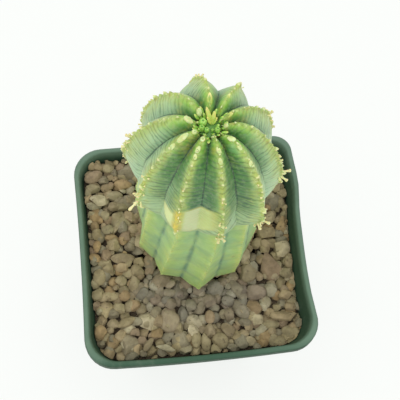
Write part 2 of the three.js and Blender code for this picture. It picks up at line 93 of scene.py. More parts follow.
# What fills the pot. The gravel's surface rises to the left and to the back.
CLEARANCE = 0.3
SOIL_TOP = 57.7
GRAVEL_TOP = 72.8
GRAVEL_RISE = (-0.045, 0.064)
BED_DROP = 3.4

# Where the stem stands, and the level of its collar, where the root begins
STEM_X = 2.1
STEM_Y = 7.8
COLLAR = 69

# The stem's outline from the root's tip to the crown's pit: radius and height above the collar of
# the ribs' crests, then of the valleys between them
OUTLINE = (
    (2.5, -30, 2.5, -30),
    (5.5, -22, 5.5, -22),
    (8.5, -13, 8.5, -13),
    (12, -5.5, 12, -5.5),
    (17.5, 0, 16.4, 0),
    (22, 4.6, 19.4, 4.2),
    (23.4, 10, 20.6, 9.5),
    (23.5, 21, 20.7, 20.5),
    (23.2, 34, 20.2, 33.5),
    (22.9, 46, 19.5, 45),
    (22.2, 56, 18.8, 54.5),
    (21.6, 61.5, 18.9, 60.6),
    (23.8, 65.6, 21, 64.8),
    (25.5, 69.4, 22.3, 70),
    (26.3, 74.5, 20.6, 76),
    (24.4, 83, 19.8, 83.5),
    (22.2, 89.4, 17.8, 87.8),
    (19.8, 93.5, 16.2, 91.3),
    (16.4, 98.2, 12.7, 95.8),
    (10, 102.6, 7.4, 99),
    (5.4, 101.4, 4.6, 98),
    (3.9, 97.4, 3.7, 96.6),
)
LAST_ROW = len(OUTLINE) - 1
COLLAR_ROW = 4
WAIST_ROW = 11
BROW_ROW = 17
# How rounded a rib is between its crest and its valleys, in the old growth, in the crown and at the
# pit, and the rows between which it changes
RIB_ROUNDNESS = (0.8, 1.12, 1.9)
ROUNDNESS_ROWS = (8, 14)
PIT_ROUNDNESS_ROWS = (17.2, 19.5)

# The ribs, counter-clockwise from the right: azimuth in degrees at the pit, at the crown and at the
# foot, then how far the rib reaches out at the crown and at the foot, as a share of the outline
RIBS = (
    (-10.4, -18.5, -12.5, 0.95, 0.96),
    (19.4, 24.9, 22, 0.93, 1),
    (51, 60, 56, 0.99, 1),
    (86.3, 97, 90, 0.985, 1),
    (126.7, 137.5, 124, 0.98, 1),
    (169.3, 168, 158, 1.01, 1),
    (207.5, 207, 192.5, 0.99, 0.985),
    (240.8, 240.8, 227, 0.88, 1.015),
    (277.5, 275.5, 264.8, 0.9, 1.045),
    (311, 305.5, 303.8, 1.04, 0.985),
)
RIB_COUNT = len(RIBS)
# The rows between which a rib turns from its foot to the crown, and then to the pit, and between
# which its reach changes
FOOT_TURN_ROWS = (4.5, 10.5)
PIT_TURN_ROWS = (13, 20.5)
REACH_ROWS = (9, 17)
SKIN_COLUMNS = 220
SKIN_LEVELS = 430
# How much closer the skin's columns lie at the crests and in the valleys, from 0 to 1
COLUMN_CROWDING = 0.6
ROOT_LEVELS = 16
# The side whose flanks get painted shade, a deeper green, while the flanks turned from it get painted sheen,
# a paler green
PAINTED_SHADE_AZIMUTH = 262

# The cream patch between the two front ribs: rib and row of the outline along its upper and its
# lower edge. Its golden edge lies on the left one of the two crests.
PATCH_TOP = ((6.45, 14.3), (6.84, 14.4), (7, 14.7), (7.46, 15.03), (8, 15.05))
PATCH_FOOT = ((6.45, 14.2), (6.64, 13.6), (6.9, 12.9), (7.08, 12.55), (7.5, 13.05), (7.78, 13.6), (8, 14))
PATCH_SIDES = (6.5, 7.94)
GOLD_RIB = 7.01
GOLD_ROWS = (12.6, 14.75)

# Pale scars that stand up on the crests near the pit: rib, radius from the stem's axis on the crest,
# length and width
SCARS = (
    (0, 4.9, 2.4, 1.6),
    (4, 5.2, 2.6, 1.9),
    (5, 6.7, 3.1, 2),
    (6, 6, 2, 1.7),
    (6, 10.1, 3.8, 1.8),
    (6, 13.6, 2.2, 1.4),
    (7, 7.1, 2.2, 1.5),
    (7, 11.1, 2.2, 1.4),
    (7, 13.2, 1.8, 1.2),
    (8, 4.6, 2, 1.6),
    (8, 10.6, 2.2, 1.4),
    (8, 13.6, 2.2, 1.4),
    (9, 7.9, 2.6, 1.7),
    (9, 11, 2.2, 1.4),
    (9, 15.9, 2, 1.3),
)
SCAR_THICKNESS_SHARE = 0.7

# Dried flower stalks on the crests' teeth: rib, height, length, then how far the tip points up and
# how far it turns aside, in degrees
STALKS = (
    (0, 77, 3.2, 15, 10),
    (0, 75.5, 2.6, -10, -25),
    (1, 84, 2.2, 20, 10),
    (5, 80, 2, -25, 15),
    (5, 84, 2, 5, -20),
    (6, 79, 2, 10, 25),
    (6, 75, 4.6, -35, 10),
    (8, 68, 2.2, -10, 20),
    (8, 66.5, 2, -40, -15),
    (9, 72, 3, 5, 20),
    (9, 70, 2.4, -20, -20),
)
STALK_RADIUS = 0.45
STALK_ROOT = 1.2
# How far a stalk's tip curls over, in radii
STALK_CURL = 1.3
# How many small broken stalks stand round each stalk's foot, and how many short dried tips on each
# rib's teeth
STALK_CRUMBS = 3
TOOTH_TIPS = 7
# How far a crumb strays from its stalk, and where a tip lies: bounds of height, length, rise, turn and
# radius
CRUMB_RANGES = ((-1.8, 1.8), (0.8, 1.9), (-50, 50), (-55, 55), (0.22, 0.38))
TIP_RANGES = ((66, 92), (0.7, 1.7), (-40, 45), (-45, 45), (0.18, 0.32))

# Young leaves lying up the crests near the pit: rib, radius, length, width, rise in degrees
YOUNG_LEAVES = (
    (1, 5.3, 3, 1.5, 38),
    (2, 4.7, 3.3, 1.5, 33),
    (2, 8.5, 2.4, 1.2, 20),
    (3, 5.6, 4.2, 1.9, 30),
)

# The tuft of youngest leaves, a little off the pit's middle: azimuth, length, width, rise in degrees
TUFT_LEAVES = (
    (112, 6.2, 1.7, 48),
    (68, 4.8, 1.6, 56),
    (141, 3.6, 1.3, 54),
    (38, 3, 1.3, 44),
)
TUFT_X = 0.6
TUFT_Y = 0.9

# Flower buds round the tuft: azimuth, distance out, radius and height
BUDS = (
    (149, 2.5, 1.25, 3.6),
    (192, 2.75, 0.95, 3.4),
    (224, 1.75, 0.8, 3),
    (322, 2.5, 0.9, 3.2),
    (291, 1.35, 0.5, 2),
    (0, 2.4, 0.55, 2.2),
)
BUD_PAD = 3.3
# Small bracts between the buds: how many, from how far out to how far out, and their turn from one to
# the next, in degrees
BRACTS = 30
BRACT_REACH = (1.2, 4.4)
BRACT_TURN = 137.5
PAD_FOOT = 97.6
PAD_TOP = 98.4

# Stones that stand out in the gravel: place, length, width, turn of the length in degrees, tone
STONES = (
    # Left of the stem, from the back
    (-34.5, 38, 4.5, 4, 0, "tan"),
    (-30.5, 37.5, 5, 4.5, 85, "khaki"),
    (-36.5, 33.5, 7, 4.5, 20, "rust"),
    (-25.5, 29.5, 7.5, 4.5, 175, "orange"),
    (-37, 29, 5.5, 4, 175, "khaki"),
    (-31.5, 28.5, 4.5, 3.5, 175, "tan"),
    (-29, 25, 6.5, 4, 175, "khaki"),
    (-35, 23.5, 7, 4.5, 175, "pale"),
    (-37, 18, 5.5, 4.5, 85, "orange"),
    (-33, 17.5, 4.5, 4, 85, "khaki"),
    (-29.5, 20.5, 4.5, 3.5, 175, "tan"),
    (-27, 15, 8, 7.5, 175, "khaki"),
    (-36.5, 9.5, 5, 4.5, 85, "khaki"),
    (-30.5, 5, 5.5, 5.5, 0, "khaki"),
    (-37, 4.5, 4.5, 3, 85, "orange"),
    (-34, 1, 5, 5, 0, "rust"),
    (-27.5, -0.5, 8.5, 3.5, 175, "tan"),
    (-28.5, -4, 6, 3.5, 175, "tan"),
    (-33.5, -4.5, 5, 4.5, 85, "khaki"),
    (-37, -7.5, 6, 4.5, 85, "khaki"),
    (-29, -9.5, 4, 4, 0, "khaki"),
    (-24, -11, 7, 4, 75, "khaki"),
    (-33.5, -15, 7, 3.5, 175, "khaki"),
    (-28, -15.5, 4, 4, 0, "orange"),
    (-36, -20, 7.5, 6.5, 85, "khaki"),
    (-30, -20, 4.5, 4.5, 0, "khaki"),
    (-24.5, -19.5, 4.5, 4.5, 0, "orange"),
    # In front of the stem, from the left
    (-34, -32.5, 5.5, 5.5, 0, "orange"),
    (-28, -34, 8.5, 7.5, 85, "grey"),
    (-28, -25.5, 7.5, 3.5, 20, "khaki"),
    (-25, -30, 4, 3, 175, "rust"),
    (-20, -25.5, 7.5, 7.5, 0, "pale"),
    (-16.5, -17, 6, 5, 175, "rust"),
    (-20.5, -35, 6, 2.5, 55, "tan"),
    (-17, -31, 5.5, 4, 175, "orange"),
    (-11.5, -26, 9.5, 7.5, 85, "tan"),
    (-14, -37, 7, 2.5, 160, "pale"),
    (-7, -14.5, 8, 8, 0, "grey"),
    (-7.5, -34.5, 7.5, 7.5, 0, "grey"),
    (-3, -21.5, 5, 4.5, 85, "khaki"),
    (-2, -34.5, 6.5, 3.5, 85, "khaki"),
    (1.5, -36, 7, 3.5, 85, "khaki"),
    (3.5, -32, 5.5, 4, 85, "tan"),
    (4, -26.5, 5, 3.5, 85, "orange"),
    (7, -36, 6.5, 6, 85, "khaki"),
    (7.5, -15, 7, 7, 0, "grey"),
    (10.5, -32, 6, 4.5, 130, "tan"),
    (11.5, -26, 6, 4, 85, "tan"),
    (15.5, -36.5, 5.5, 5.5, 0, "grey"),
    (16, -16.5, 9.5, 4, 125, "khaki"),
    (16.5, -24, 9, 5, 125, "grey"),
    (17.5, -29.5, 5, 3.5, 165, "grey"),
    (22, -24, 6, 5, 130, "orange"),
    (23, -18, 8.5, 5.5, 175, "rust"),
    (24, -35.5, 7, 6, 85, "orange"),
    (26.5, -22, 4.5, 4.5, 0, "pale"),
    (27, -31, 7.5, 3.5, 175, "khaki"),
    (33, -28.5, 10.5, 4, 175, "tan"),
    (34.5, -34.5, 6, 5, 175, "khaki"),
    # Right of the stem, from the front
    (36.5, -24.5, 5, 4, 10, "tan"),
    (34.5, -20, 5.5, 4, 175, "tan"),
    (30.5, -8.5, 12, 8, 115, "rust"),
    (36.5, -11.5, 4.5, 4.5, 0, "khaki"),
    (21, -10, 7, 7, 0, "khaki"),
    (35.5, -1, 7.5, 7, 80, "pale"),
    (30.5, 6, 7, 6.5, 0, "khaki"),
    (37, 8, 7.5, 4.5, 80, "orange"),
    (29, 0.5, 4.5, 4.5, 0, "tan"),
    (34.5, 18, 10, 8.5, 20, "grey"),
)
# The stones strewn between them, as in the frame's gravel, and the smaller ones that show in the gaps:
# tries, widest, narrowest, how near they may lie as a share of their sizes, and how far off the wall
# as a share of their width
FILL = (5000, 5.6, 3.8, 0.95, 0.4)
CHIPS = (9000, 4.2, 2, 0.72, 0.3)
STRETCH = 0.5
STEM_ROOM = 17
STONE_SEED = 41
STONE_SHAPES = 7
# How far a stone's top stands above the surface, and how far it tilts, in degrees
STONE_STANDS = (-0.2, 1.5)
STONE_TILT = 9
# How much lower the small ones lie, how far they tilt, and the share of their faces that they keep
CHIP_DROP = 1.2
CHIP_TILT = 20
CHIP_DETAIL = 0.5
# How often the strewn ones have each tone, in the order of STONE_TONES
TONE_CHANCES = (34, 30, 6, 16, 7, 7)
# The bed's hole round the stem, and how far above the bed's foot its cutter's middle is
BED_HOLE = 24.8
BED_HOLE_SIDES = 48
BED_CUTTER_RISE = 10
BED_CUTTER_HEIGHT = 40
# Painted shadow of the stem on the stones in front of it, which are darker and greyer: how far in front that
# begins and is fullest, how far from the stem's axis it is fullest and ends, and how dark and how grey the
# darkest are
PAINTED_SHADOW_DEPTHS = (6, 18)
PAINTED_SHADOW_REACH = (26, 44)
PAINTED_SHADOW_SHADE = 0.8
PAINTED_SHADOW_GREYNESS = 0.35

# Camera, in millimetres and degrees
CAMERA_TARGET = (4.61, 18.46, 80)
CAMERA_DISTANCE = 354.6
CAMERA_AZIMUTH = -13.52
CAMERA_ELEVATION = 68.5
CAMERA_ROLL = 7.88
CAMERA_LENS = 81
CAMERA_SENSOR = 36

# Floor and lamp, in millimetres
FLOOR_SIZE = 4000
LAMP_SIZE = 900
LAMP_PLACE = (-100, -100, 950)
LAMP_TARGET = (0, 0, 100)


def paint(red, green, blue):
    """The linear light of a colour given as it looks on a screen, each part from 0 to 255."""
    shares = (red / 255, green / 255, blue / 255)
    return tuple(s / 12.92 if s <= 0.04045 else ((s + 0.055) / 1.055) ** 2.4 for s in shares)


STONE_TONES = {
    "khaki": paint(160, 148, 114),
    "tan": paint(160, 144, 112),
    "pale": paint(182, 172, 140),
    "grey": paint(144, 136, 112),
    "orange": paint(164, 141, 102),
    "rust": paint(152, 133, 106),
}


# Properties


def colour_property(name, description, *screen_colour):
    return FloatVectorProperty(
        name=name, description=description, subtype="COLOR", default=paint(*screen_colour)
    )


def length_property(name, description, millimetres):
    return FloatProperty(name=name, description=description, unit="LENGTH", default=millimetres * MM)


class PotSettings(bpy.types.PropertyGroup):
    """Colours of the pot and of what fills it."""

    plastic: colour_property("Plastic", "Colour of the pot", 56, 80, 62)
    rim: colour_property("Rim", "Colour of the worn rim", 102, 126, 108)
    dust: colour_property("Dust", "Colour of dust and wear", 150, 160, 142)
    soil: colour_property("Soil", "Colour of the potting mix", 58, 46, 36)
    bed: colour_property("Grit", "Colour between the stones", 94, 80, 60)


class StemSettings(bpy.types.PropertyGroup):
    """Sizes and colours of the stem."""

    tooth_pitch: length_property("Tooth pitch", "From tooth to tooth on a crest", 2.4)
    tooth_height: length_property("Tooth height", "How far a tooth stands out", 1.7)
    stripe_pitch: length_property("Stripe pitch", "From one cross stripe to the next", 1.75)
    flank: colour_property("Flank", "Colour of the crown's flanks", 162, 190, 126)
    low_flank: colour_property("Low flank", "Colour of the flanks lower on the crown", 176, 202, 150)
    # Painted shade: the deeper green of the flanks on one side
    painted_shade_flank: colour_property("Sunny flank", "Colour of the flanks on the sunny side", 108, 152, 78)
    stripe: colour_property("Stripe", "Colour of the cross stripes", 42, 84, 54)
    crest: colour_property("Crest", "Colour of the ribs' edges", 170, 184, 82)
    young: colour_property("New growth", "Colour near the pit", 128, 178, 58)
    old: colour_property("Old growth", "Colour of the lower tier", 150, 188, 124)
    old_crest: colour_property("Old crest", "Colour of the lower ribs' edges", 186, 202, 110)
    patch: colour_property("Patch", "Colour of the cream patch", 184, 196, 124)
    scar: colour_property("Leaf scar", "Colour of the leaf scars", 206, 218, 156)
    leaf: colour_property("Young leaf", "Colour of the young leaves", 230, 224, 150)
    bud: colour_property("Bud", "Colour of the flower buds", 158, 204, 94)


class StageSettings(bpy.types.PropertyGroup):
    """Floor and light."""

    floor: FloatVectorProperty(
        name="Floor", description="Colour of the floor", subtype="COLOR", default=(0.12, 0.123, 0.12)
    )
    floor_glow: FloatProperty(
        name="Floor glow", description="Light that lifts shadows on the floor", default=0.815
    )
    sky_strength: FloatProperty(name="Sky strength", description="Even light from all round", default=0.95)
    key_power: FloatProperty(
        name="Key power", description="Power of the large lamp overhead", unit="POWER", default=3.2
    )


# Shapes that the frame and the looks share


def lerp(low, high, share):
    return low + (high - low) * share


def smoothstep(value, low, high):
    share = np.clip((value - low) / (high - low), 0, 1)
    return share * share * (3 - 2 * share)


def smooth_line(table, rows):
    """Points on a smooth line through a table's rows, at rows between them too."""
    table = np.asarray(table, float)
    last = len(table) - 1
    start = np.clip(np.floor(rows).astype(int), 0, last)
    share = (rows - start)[..., None]
    before = table[np.maximum(start - 1, 0)]
    here = table[start]
    after = table[np.minimum(start + 1, last)]
    beyond = table[np.minimum(start + 2, last)]
    slope_here = (after - before) / 2
    slope_after = (beyond - here) / 2
    cubic = 2 * here - 2 * after + slope_here + slope_after
    square = 3 * after - 3 * here - 2 * slope_here - slope_after
    return ((cubic * share + square) * share + slope_here) * share + here


def rib_azimuth(row, rib):
    """The azimuth of rows of the rib table at rows of the outline, in degrees."""
    body = lerp(rib[..., 2], rib[..., 1], smoothstep(row, *FOOT_TURN_ROWS))
    return lerp(body, rib[..., 0], smoothstep(row, *PIT_TURN_ROWS))


def off_crest(ribs):
    """How far places are from the nearest crest, from 0 on it to 1 in the valley."""
    return 1 - np.abs(1 - 2 * (ribs - np.floor(ribs)))


def stem_surface(ribs, rows):
    """Places on the stem's skin in millimetres. Ribs are counted from crest to crest, and rows are
    rows of the outline; both may be fractions."""
    table = np.array(RIBS, float)
    whole = np.floor(ribs).astype(int)
    across = ribs - whole
    this = table[whole % RIB_COUNT]
    following = table[(whole + 1) % RIB_COUNT]
    start = rib_azimuth(rows, this)
    gap = np.mod(rib_azimuth(rows, following) - start, 360)
    near = np.where((across < 0.5)[..., None], this, following)
    reach = lerp(near[..., 4], near[..., 3], smoothstep(rows, *REACH_ROWS))
    line = smooth_line(OUTLINE, rows)
    crest_radius = line[..., 0] * np.where(rows < COLLAR_ROW, 1, reach)
    old, crown, pit = RIB_ROUNDNESS
    roundness = lerp(old, crown, smoothstep(rows, *ROUNDNESS_ROWS))
    roundness = lerp(roundness, pit, smoothstep(rows, *PIT_ROUNDNESS_ROWS))
    weight = 1 - off_crest(ribs) ** roundness
    radius = lerp(line[..., 2], crest_radius, weight)
    height = lerp(line[..., 3], line[..., 1], weight)
    turn = np.radians(start + gap * across)
    places = (STEM_X + radius * np.cos(turn), STEM_Y + radius * np.sin(turn), COLLAR + height)
    return np.stack(places, -1)


def make_growth_scale():
    """The length along a crest, in millimetres from the collar, at finely spaced rows."""
    rows = np.linspace(0, LAST_ROW, 60 * LAST_ROW + 1)
    line = smooth_line(OUTLINE, rows)[:, :2]
    lengths = np.concatenate([[0], np.cumsum(np.linalg.norm(np.diff(line, axis=0), axis=1))])
    return rows, lengths - np.interp(COLLAR_ROW, rows, lengths)


GROWTH_ROWS, GROWTH_LENGTHS = make_growth_scale()


def length_at(row):
    return np.interp(row, GROWTH_ROWS, GROWTH_LENGTHS)


def row_at(length):
    return np.interp(length, GROWTH_LENGTHS, GROWTH_ROWS)


def row_at_radius(radius):
    """The row near the pit at which the inside of the crest has a radius."""
    rows = np.linspace(BROW_ROW, LAST_ROW, 400)
    radii = smooth_line(OUTLINE, rows)[:, 0]
    return float(np.interp(-radius, -radii, rows))


def row_at_height(height):
    """The row on the crown's outside at which the crest has a height."""
    rows = np.linspace(COLLAR_ROW, BROW_ROW + 2, 800)
    return float(np.interp(height, smooth_line(OUTLINE, rows)[:, 1], rows))


def crest_place(rib, row):
    """Place, outward direction and direction towards the crown of a point on a crest."""
    step = 0.04
    low, here, high = stem_surface(np.full(3, float(rib)), np.array([row - step, row, row + step]))
    along = Vector(high - low).normalized()
    turn = math.atan2(here[1] - STEM_Y, here[0] - STEM_X)
    side = Vector((-math.sin(turn), math.cos(turn), 0))
    return Vector(here), side.cross(along).normalized(), along


def gravel_level(x, y, above):
    """The height of the gravel's sloping surface at a place, and some way above it."""
    return GRAVEL_TOP + GRAVEL_RISE[0] * x + GRAVEL_RISE[1] * y + above


def wall_half(z):
    """The outer half width of the pot's wall at a height."""
    top_half = RIM_WIDTH / 2 - WALL - LIP_HOLLOW
    step = np.where(z < SHOULDER_HEIGHT, SHOULDER_STEP, 0)
    return lerp(FOOT_WIDTH / 2, top_half, z / POT_HEIGHT) - step


def side_bow(along, side):
    """How far a side of the rim stands out at places along it."""
    far_end = (1 - CORNER_SHARE * CORNER_SHARES[side]) / (1 - CORNER_SHARE)
    knots = (-1, *SIDE_POINTS, far_end)
    bows = np.array((0, *SIDE_BOWS[side], 0), float)[:, None]
    return smooth_line(bows, np.interp(along, knots, range(len(knots))))[..., 0]


# Modelling steps


def deselect():
    """Ends in object mode with nothing selected."""
    if bpy.context.object and bpy.context.object.mode != "OBJECT":
        bpy.ops.object.mode_set(mode="OBJECT")
    bpy.ops.object.select_all(action="DESELECT")


def activate(piece):
    deselect()
    piece.select_set(True)
    bpy.context.view_layer.objects.active = piece


def added(operator, **settings):
    """The piece that an operator adds, with nothing else selected."""
    deselect()
    operator(**settings)
    return bpy.context.object


def post(x, y, z, radius, height, sides):
    """An upright cylinder round a middle, in millimetres."""
    return added(
        bpy.ops.mesh.primitive_cylinder_add, vertices=sides, radius=radius * MM, depth=height * MM,
        location=(x * MM, y * MM, z * MM),
    )


def edit(kind, action="SELECT"):
    """Enters edit mode on points, edges or faces, with all of them selected or none."""
    bpy.ops.object.mode_set(mode="EDIT")
    bpy.ops.mesh.select_mode(type=kind)
    bpy.ops.mesh.select_all(action=action)


def pick(piece, kind, wanted):
    """Enters edit mode with only the wanted points, edges or faces selected."""
    edit(kind, "DESELECT")
    bpy.ops.object.mode_set(mode="OBJECT")
    items = {"VERT": piece.data.vertices, "EDGE": piece.data.edges, "FACE": piece.data.polygons}
    for item in items[kind]:
        item.select = wanted(item)
    bpy.ops.object.mode_set(mode="EDIT")


def read(items, field, width, kind=float):
    """A field of all of a mesh's items, with a row for each where the field is wide."""
    values = np.empty(len(items) * width, kind)
    items.foreach_get(field, values)
    return values.reshape(-1, width) if width > 1 else values


def coordinates(mesh):
    return read(mesh.vertices, "co", 3)


def set_coordinates(mesh, places):
    mesh.vertices.foreach_set("co", np.asarray(places, float).ravel())
    mesh.update()


def set_shade(model, shade):
    """Gives a model's points the shade from 0 to 1 that its finish reads."""
    layer = model.data.attributes.new("shade", "FLOAT", "POINT")
    layer.data.foreach_set("value", shade)


def apply_modifier(piece, kind, **settings):
    activate(piece)
    modifier = piece.modifiers.new(kind.title(), kind)
    for name, value in settings.items():
        setattr(modifier, name, value)
    bpy.ops.object.modifier_apply(modifier=modifier.name)


def cut(piece, cutter):
    apply_modifier(piece, "BOOLEAN", operation="DIFFERENCE", solver="EXACT", object=cutter)
    remove([cutter])


def clean_shell(piece):
    """Joins doubled points, closes the open ends and turns every face outwards."""
    activate(piece)
    edit("VERT")
    bpy.ops.mesh.remove_doubles(threshold=0.002 * MM)
    edit("EDGE", "DESELECT")
    bpy.ops.mesh.select_non_manifold(extend=False)
    bpy.ops.mesh.edge_face_add()
    edit("VERT")
    bpy.ops.mesh.normals_make_consistent(inside=False)
    bpy.ops.object.mode_set(mode="OBJECT")


def wrapped_grid(columns, levels, place):
    """A grid primitive wrapped round so that its point at (column, level) goes to a place in mm."""
    piece = added(bpy.ops.mesh.primitive_grid_add, x_subdivisions=columns, y_subdivisions=levels, size=2)
    flat = (coordinates(piece.data)[:, :2] + 1) / 2
    column, level = np.rint(flat * (columns, levels)).astype(int).T
    set_coordinates(piece.data, place(column, level) * MM)
    return piece


def side_directions(side):
    """Outward from a side of the pot, and along it."""
    out = np.array((math.cos(math.pi / 2 * side), math.sin(math.pi / 2 * side), 0))
    return out, np.array((-out[1], out[0], 0))


def corner_signs(side):
    """The signs of x and y at the pot's corner that comes after a side."""
    turn = math.radians(90 * side + 45)
    return np.sign((math.cos(turn), math.sin(turn)))


def round_corner(plane, side, half):
    """Rounds the corner of a square plane that comes after a side."""
    corner = Vector(corner_signs(side) * half * MM)
    pick(plane, "VERT", lambda point: (point.co.xy - corner).length < 0.1 * MM)
    radius = half * CORNER_SHARE * CORNER_SHARES[side] * MM
    bpy.ops.mesh.bevel(offset=radius, segments=CORNER_STEPS, affect="VERTICES")


def extruded_square(levels):
    """A closed shell: a rounded square extruded through levels of half width and height, whose sides
    are then bowed more towards the rim."""
    half, z = levels[0]
    shell = added(bpy.ops.mesh.primitive_plane_add, size=2 * half * MM)
    for side in range(4):
        round_corner(shell, side, half)

    def straight(edge):
        start, end = (shell.data.vertices[index].co for index in edge.vertices)
        return (start - end).length > half * MM

    pick(shell, "EDGE", straight)
    bpy.ops.mesh.subdivide(number_cuts=SIDE_CUTS)
    edit("FACE")
    bpy.ops.transform.translate(value=(0, 0, z * MM))
    for next_half, next_z in levels[1:]:
        bpy.ops.mesh.extrude_region_move(TRANSFORM_OT_translate={"value": (0, 0, (next_z - z) * MM)})
        spread = next_half / half
        bpy.ops.transform.resize(value=(spread, spread, 1), center_override=(0, 0, 0))
        half, z = next_half, next_z
    edit("VERT")
    bpy.ops.mesh.normals_make_consistent(inside=False)
    bpy.ops.object.mode_set(mode="OBJECT")
    bow_sides(shell)
    return shell


def bow_sides(shell):
    places = coordinates(shell.data) / MM
    share = (places[:, 2] / POT_HEIGHT) ** 2
    moved = places.copy()
    for side in range(4):
        out, left = side_directions(side)
        reach, across = places @ out, places @ left
        facing = reach > np.abs(across)
        along = across[facing] / (reach[facing] * (1 - CORNER_SHARE))
        moved[facing] += (side_bow(along, side) * share[facing])[:, None] * out
    set_coordinates(shell.data, moved * MM)


def copy_to(model, matrix):
    """A copy of a model with its own mesh, moved in the mesh."""
    copy = model.copy()
    copy.data = model.data.copy()
    copy.data.transform(matrix)
    bpy.context.scene.collection.objects.link(copy)
    return copy


def join(copies):
    deselect()
    for copy in copies:
        copy.select_set(True)
    bpy.context.view_layer.objects.active = copies[0]
    bpy.ops.object.join()
    return bpy.context.object


def remove(models):
    for model in models:
        bpy.data.objects.remove(model)


def keep(piece, name, material, replaced):
    """Names a finished piece, gives it its finish, and seats it in the frame."""
    piece.name = name
    piece.data.name = name
    piece.data.materials.clear()
    piece.data.materials.append(material)
    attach(piece, BODY)
    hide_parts(*replaced)


def smooth(piece, angle=None):
    activate(piece)
    if angle is None:
        bpy.ops.object.shade_smooth()
    else:
        bpy.ops.object.shade_smooth_by_angle(angle=math.radians(angle))


def heading(azimuth, rise=0):
    """The direction that an azimuth and a rise point in, both in degrees."""
    turn, lift = math.radians(azimuth), math.radians(rise)
    return Vector((math.cos(turn) * math.cos(lift), math.sin(turn) * math.cos(lift), math.sin(lift)))


def placed(place):
    return Matrix.Translation(Vector(place) * MM)


def sized(across, deep, high):
    return Matrix.Diagonal((across * MM, deep * MM, high * MM, 1))


def turned(angle, axis):
    return Matrix.Rotation(math.radians(angle), 4, axis)


def aim(along, outward, place):
    """A matrix whose Z runs along a direction and whose Y leans outward, at a place in millimetres."""
    forward = Vector(along).normalized()
    side = Vector(outward).cross(forward).normalized()
    return placed(place) @ Matrix((side, forward.cross(side), forward)).transposed().to_4x4()


def on_stem(azimuth, reach, height):
    """A place at a distance from the stem's axis and a height above its collar."""
    return Vector((STEM_X, STEM_Y, COLLAR + height)) + heading(azimuth) * reach


# Finishes


class Finish:
    """A material of one Principled shader, whose nodes are added by short calls."""

    def __init__(self, name, roughness, **sockets):
        self.material = bpy.data.materials.new(name)
        self.material.use_nodes = True
        self.nodes = self.material.node_tree.nodes
        self.links = self.material.node_tree.links
        self.nodes.clear()
        self.shader = self.nodes.new("ShaderNodeBsdfPrincipled")
        self.shader.inputs["Roughness"].default_value = roughness
        for socket, value in sockets.items():
            self.shader.inputs[socket.replace("_", " ")].default_value = value
        output = self.nodes.new("ShaderNodeOutputMaterial")
        self.links.new(self.shader.outputs[0], output.inputs["Surface"])

    def put(self, value, socket):
        """Sets a socket to a number, a colour, or another node's output."""
        if isinstance(value, bpy.types.NodeSocket):
            self.links.new(value, socket)
        elif isinstance(value, (tuple, list)) or hasattr(value, "r"):
            parts = list(value)[:3]
            socket.default_value = (*parts, 1) if len(socket.default_value) == 4 else parts
        else:
            socket.default_value = value

    def add(self, kind, **inputs):
        """Adds a node and sets its inputs by their names."""
        node = self.nodes.new(kind)
        for name, value in inputs.items():
            self.put(value, node.inputs[name])
        return node

    def math(self, operation, first, second=0.0, third=0.0, clamp=False):
        node = self.add("ShaderNodeMath")
        node.operation = operation
        node.use_clamp = clamp
        for value, socket in zip((first, second, third), node.inputs):
            self.put(value, socket)
        return node.outputs[0]

    def times(self, product, *factors):
        for factor in factors:
            product = self.math("MULTIPLY", product, factor)
        return product

    def fit(self, value, low, high, to_low=0.0, to_high=1.0):
        """A smooth rise of a value from to_low at low up to to_high at high."""
        node = self.add("ShaderNodeMapRange")
        node.interpolation_type = "SMOOTHSTEP"
        for item, socket in zip((value, low, high, to_low, to_high), node.inputs):
            self.put(item, socket)
        return node.outputs[0]

    def mix(self, share, low, high, blend="MIX"):
        node = self.add("ShaderNodeMix")
        node.data_type = "RGBA"
        node.blend_type = blend
        self.put(share, node.inputs["Factor"])
        self.put(low, node.inputs[6])
        self.put(high, node.inputs[7])
        return node.outputs[2]

    def layers(self, colour, *rows):
        """A colour with others laid over it. A row ends in its colour, after the share that shows, or
        after what fit needs to make that share."""
        for *share, over in rows:
            colour = self.mix(self.fit(*share) if len(share) > 1 else share[0], colour, over)
        return colour

    def object_place(self):
        return self.add("ShaderNodeTexCoord").outputs["Object"]

    def scaled(self, vector, scale):
        return self.add("ShaderNodeMapping", Vector=vector, Scale=scale).outputs[0]

    def noise(self, vector, scale, detail, roughness):
        inputs = {"Vector": vector, "Scale": scale, "Detail": detail, "Roughness": roughness}
        return self.add("ShaderNodeTexNoise", **inputs).outputs["Fac"]

    def cells(self, vector, scale):
        return self.add("ShaderNodeTexVoronoi", Vector=vector, Scale=scale).outputs["Distance"]

    def attribute(self, name, output="Color"):
        node = self.add("ShaderNodeAttribute")
        node.attribute_name = name
        return node.outputs[output]

    def split(self, vector):
        return self.add("ShaderNodeSeparateXYZ", Vector=vector).outputs

    def growth(self):
        """The stem's own map: ribs from crest to crest, and millimetres from the collar."""
        node = self.add("ShaderNodeUVMap")
        node.uv_map = "growth"
        across, along, _ = self.split(node.outputs[0])
        return node.outputs[0], across, along

    def colour(self, value):
        self.put(value, self.shader.inputs["Base Color"])

    def roughness(self, value):
        self.put(value, self.shader.inputs["Roughness"])

    def bump(self, height, strength, distance):
        node = self.add("ShaderNodeBump", Height=height, Strength=strength, Distance=distance)
        self.put(node.outputs[0], self.shader.inputs["Normal"])


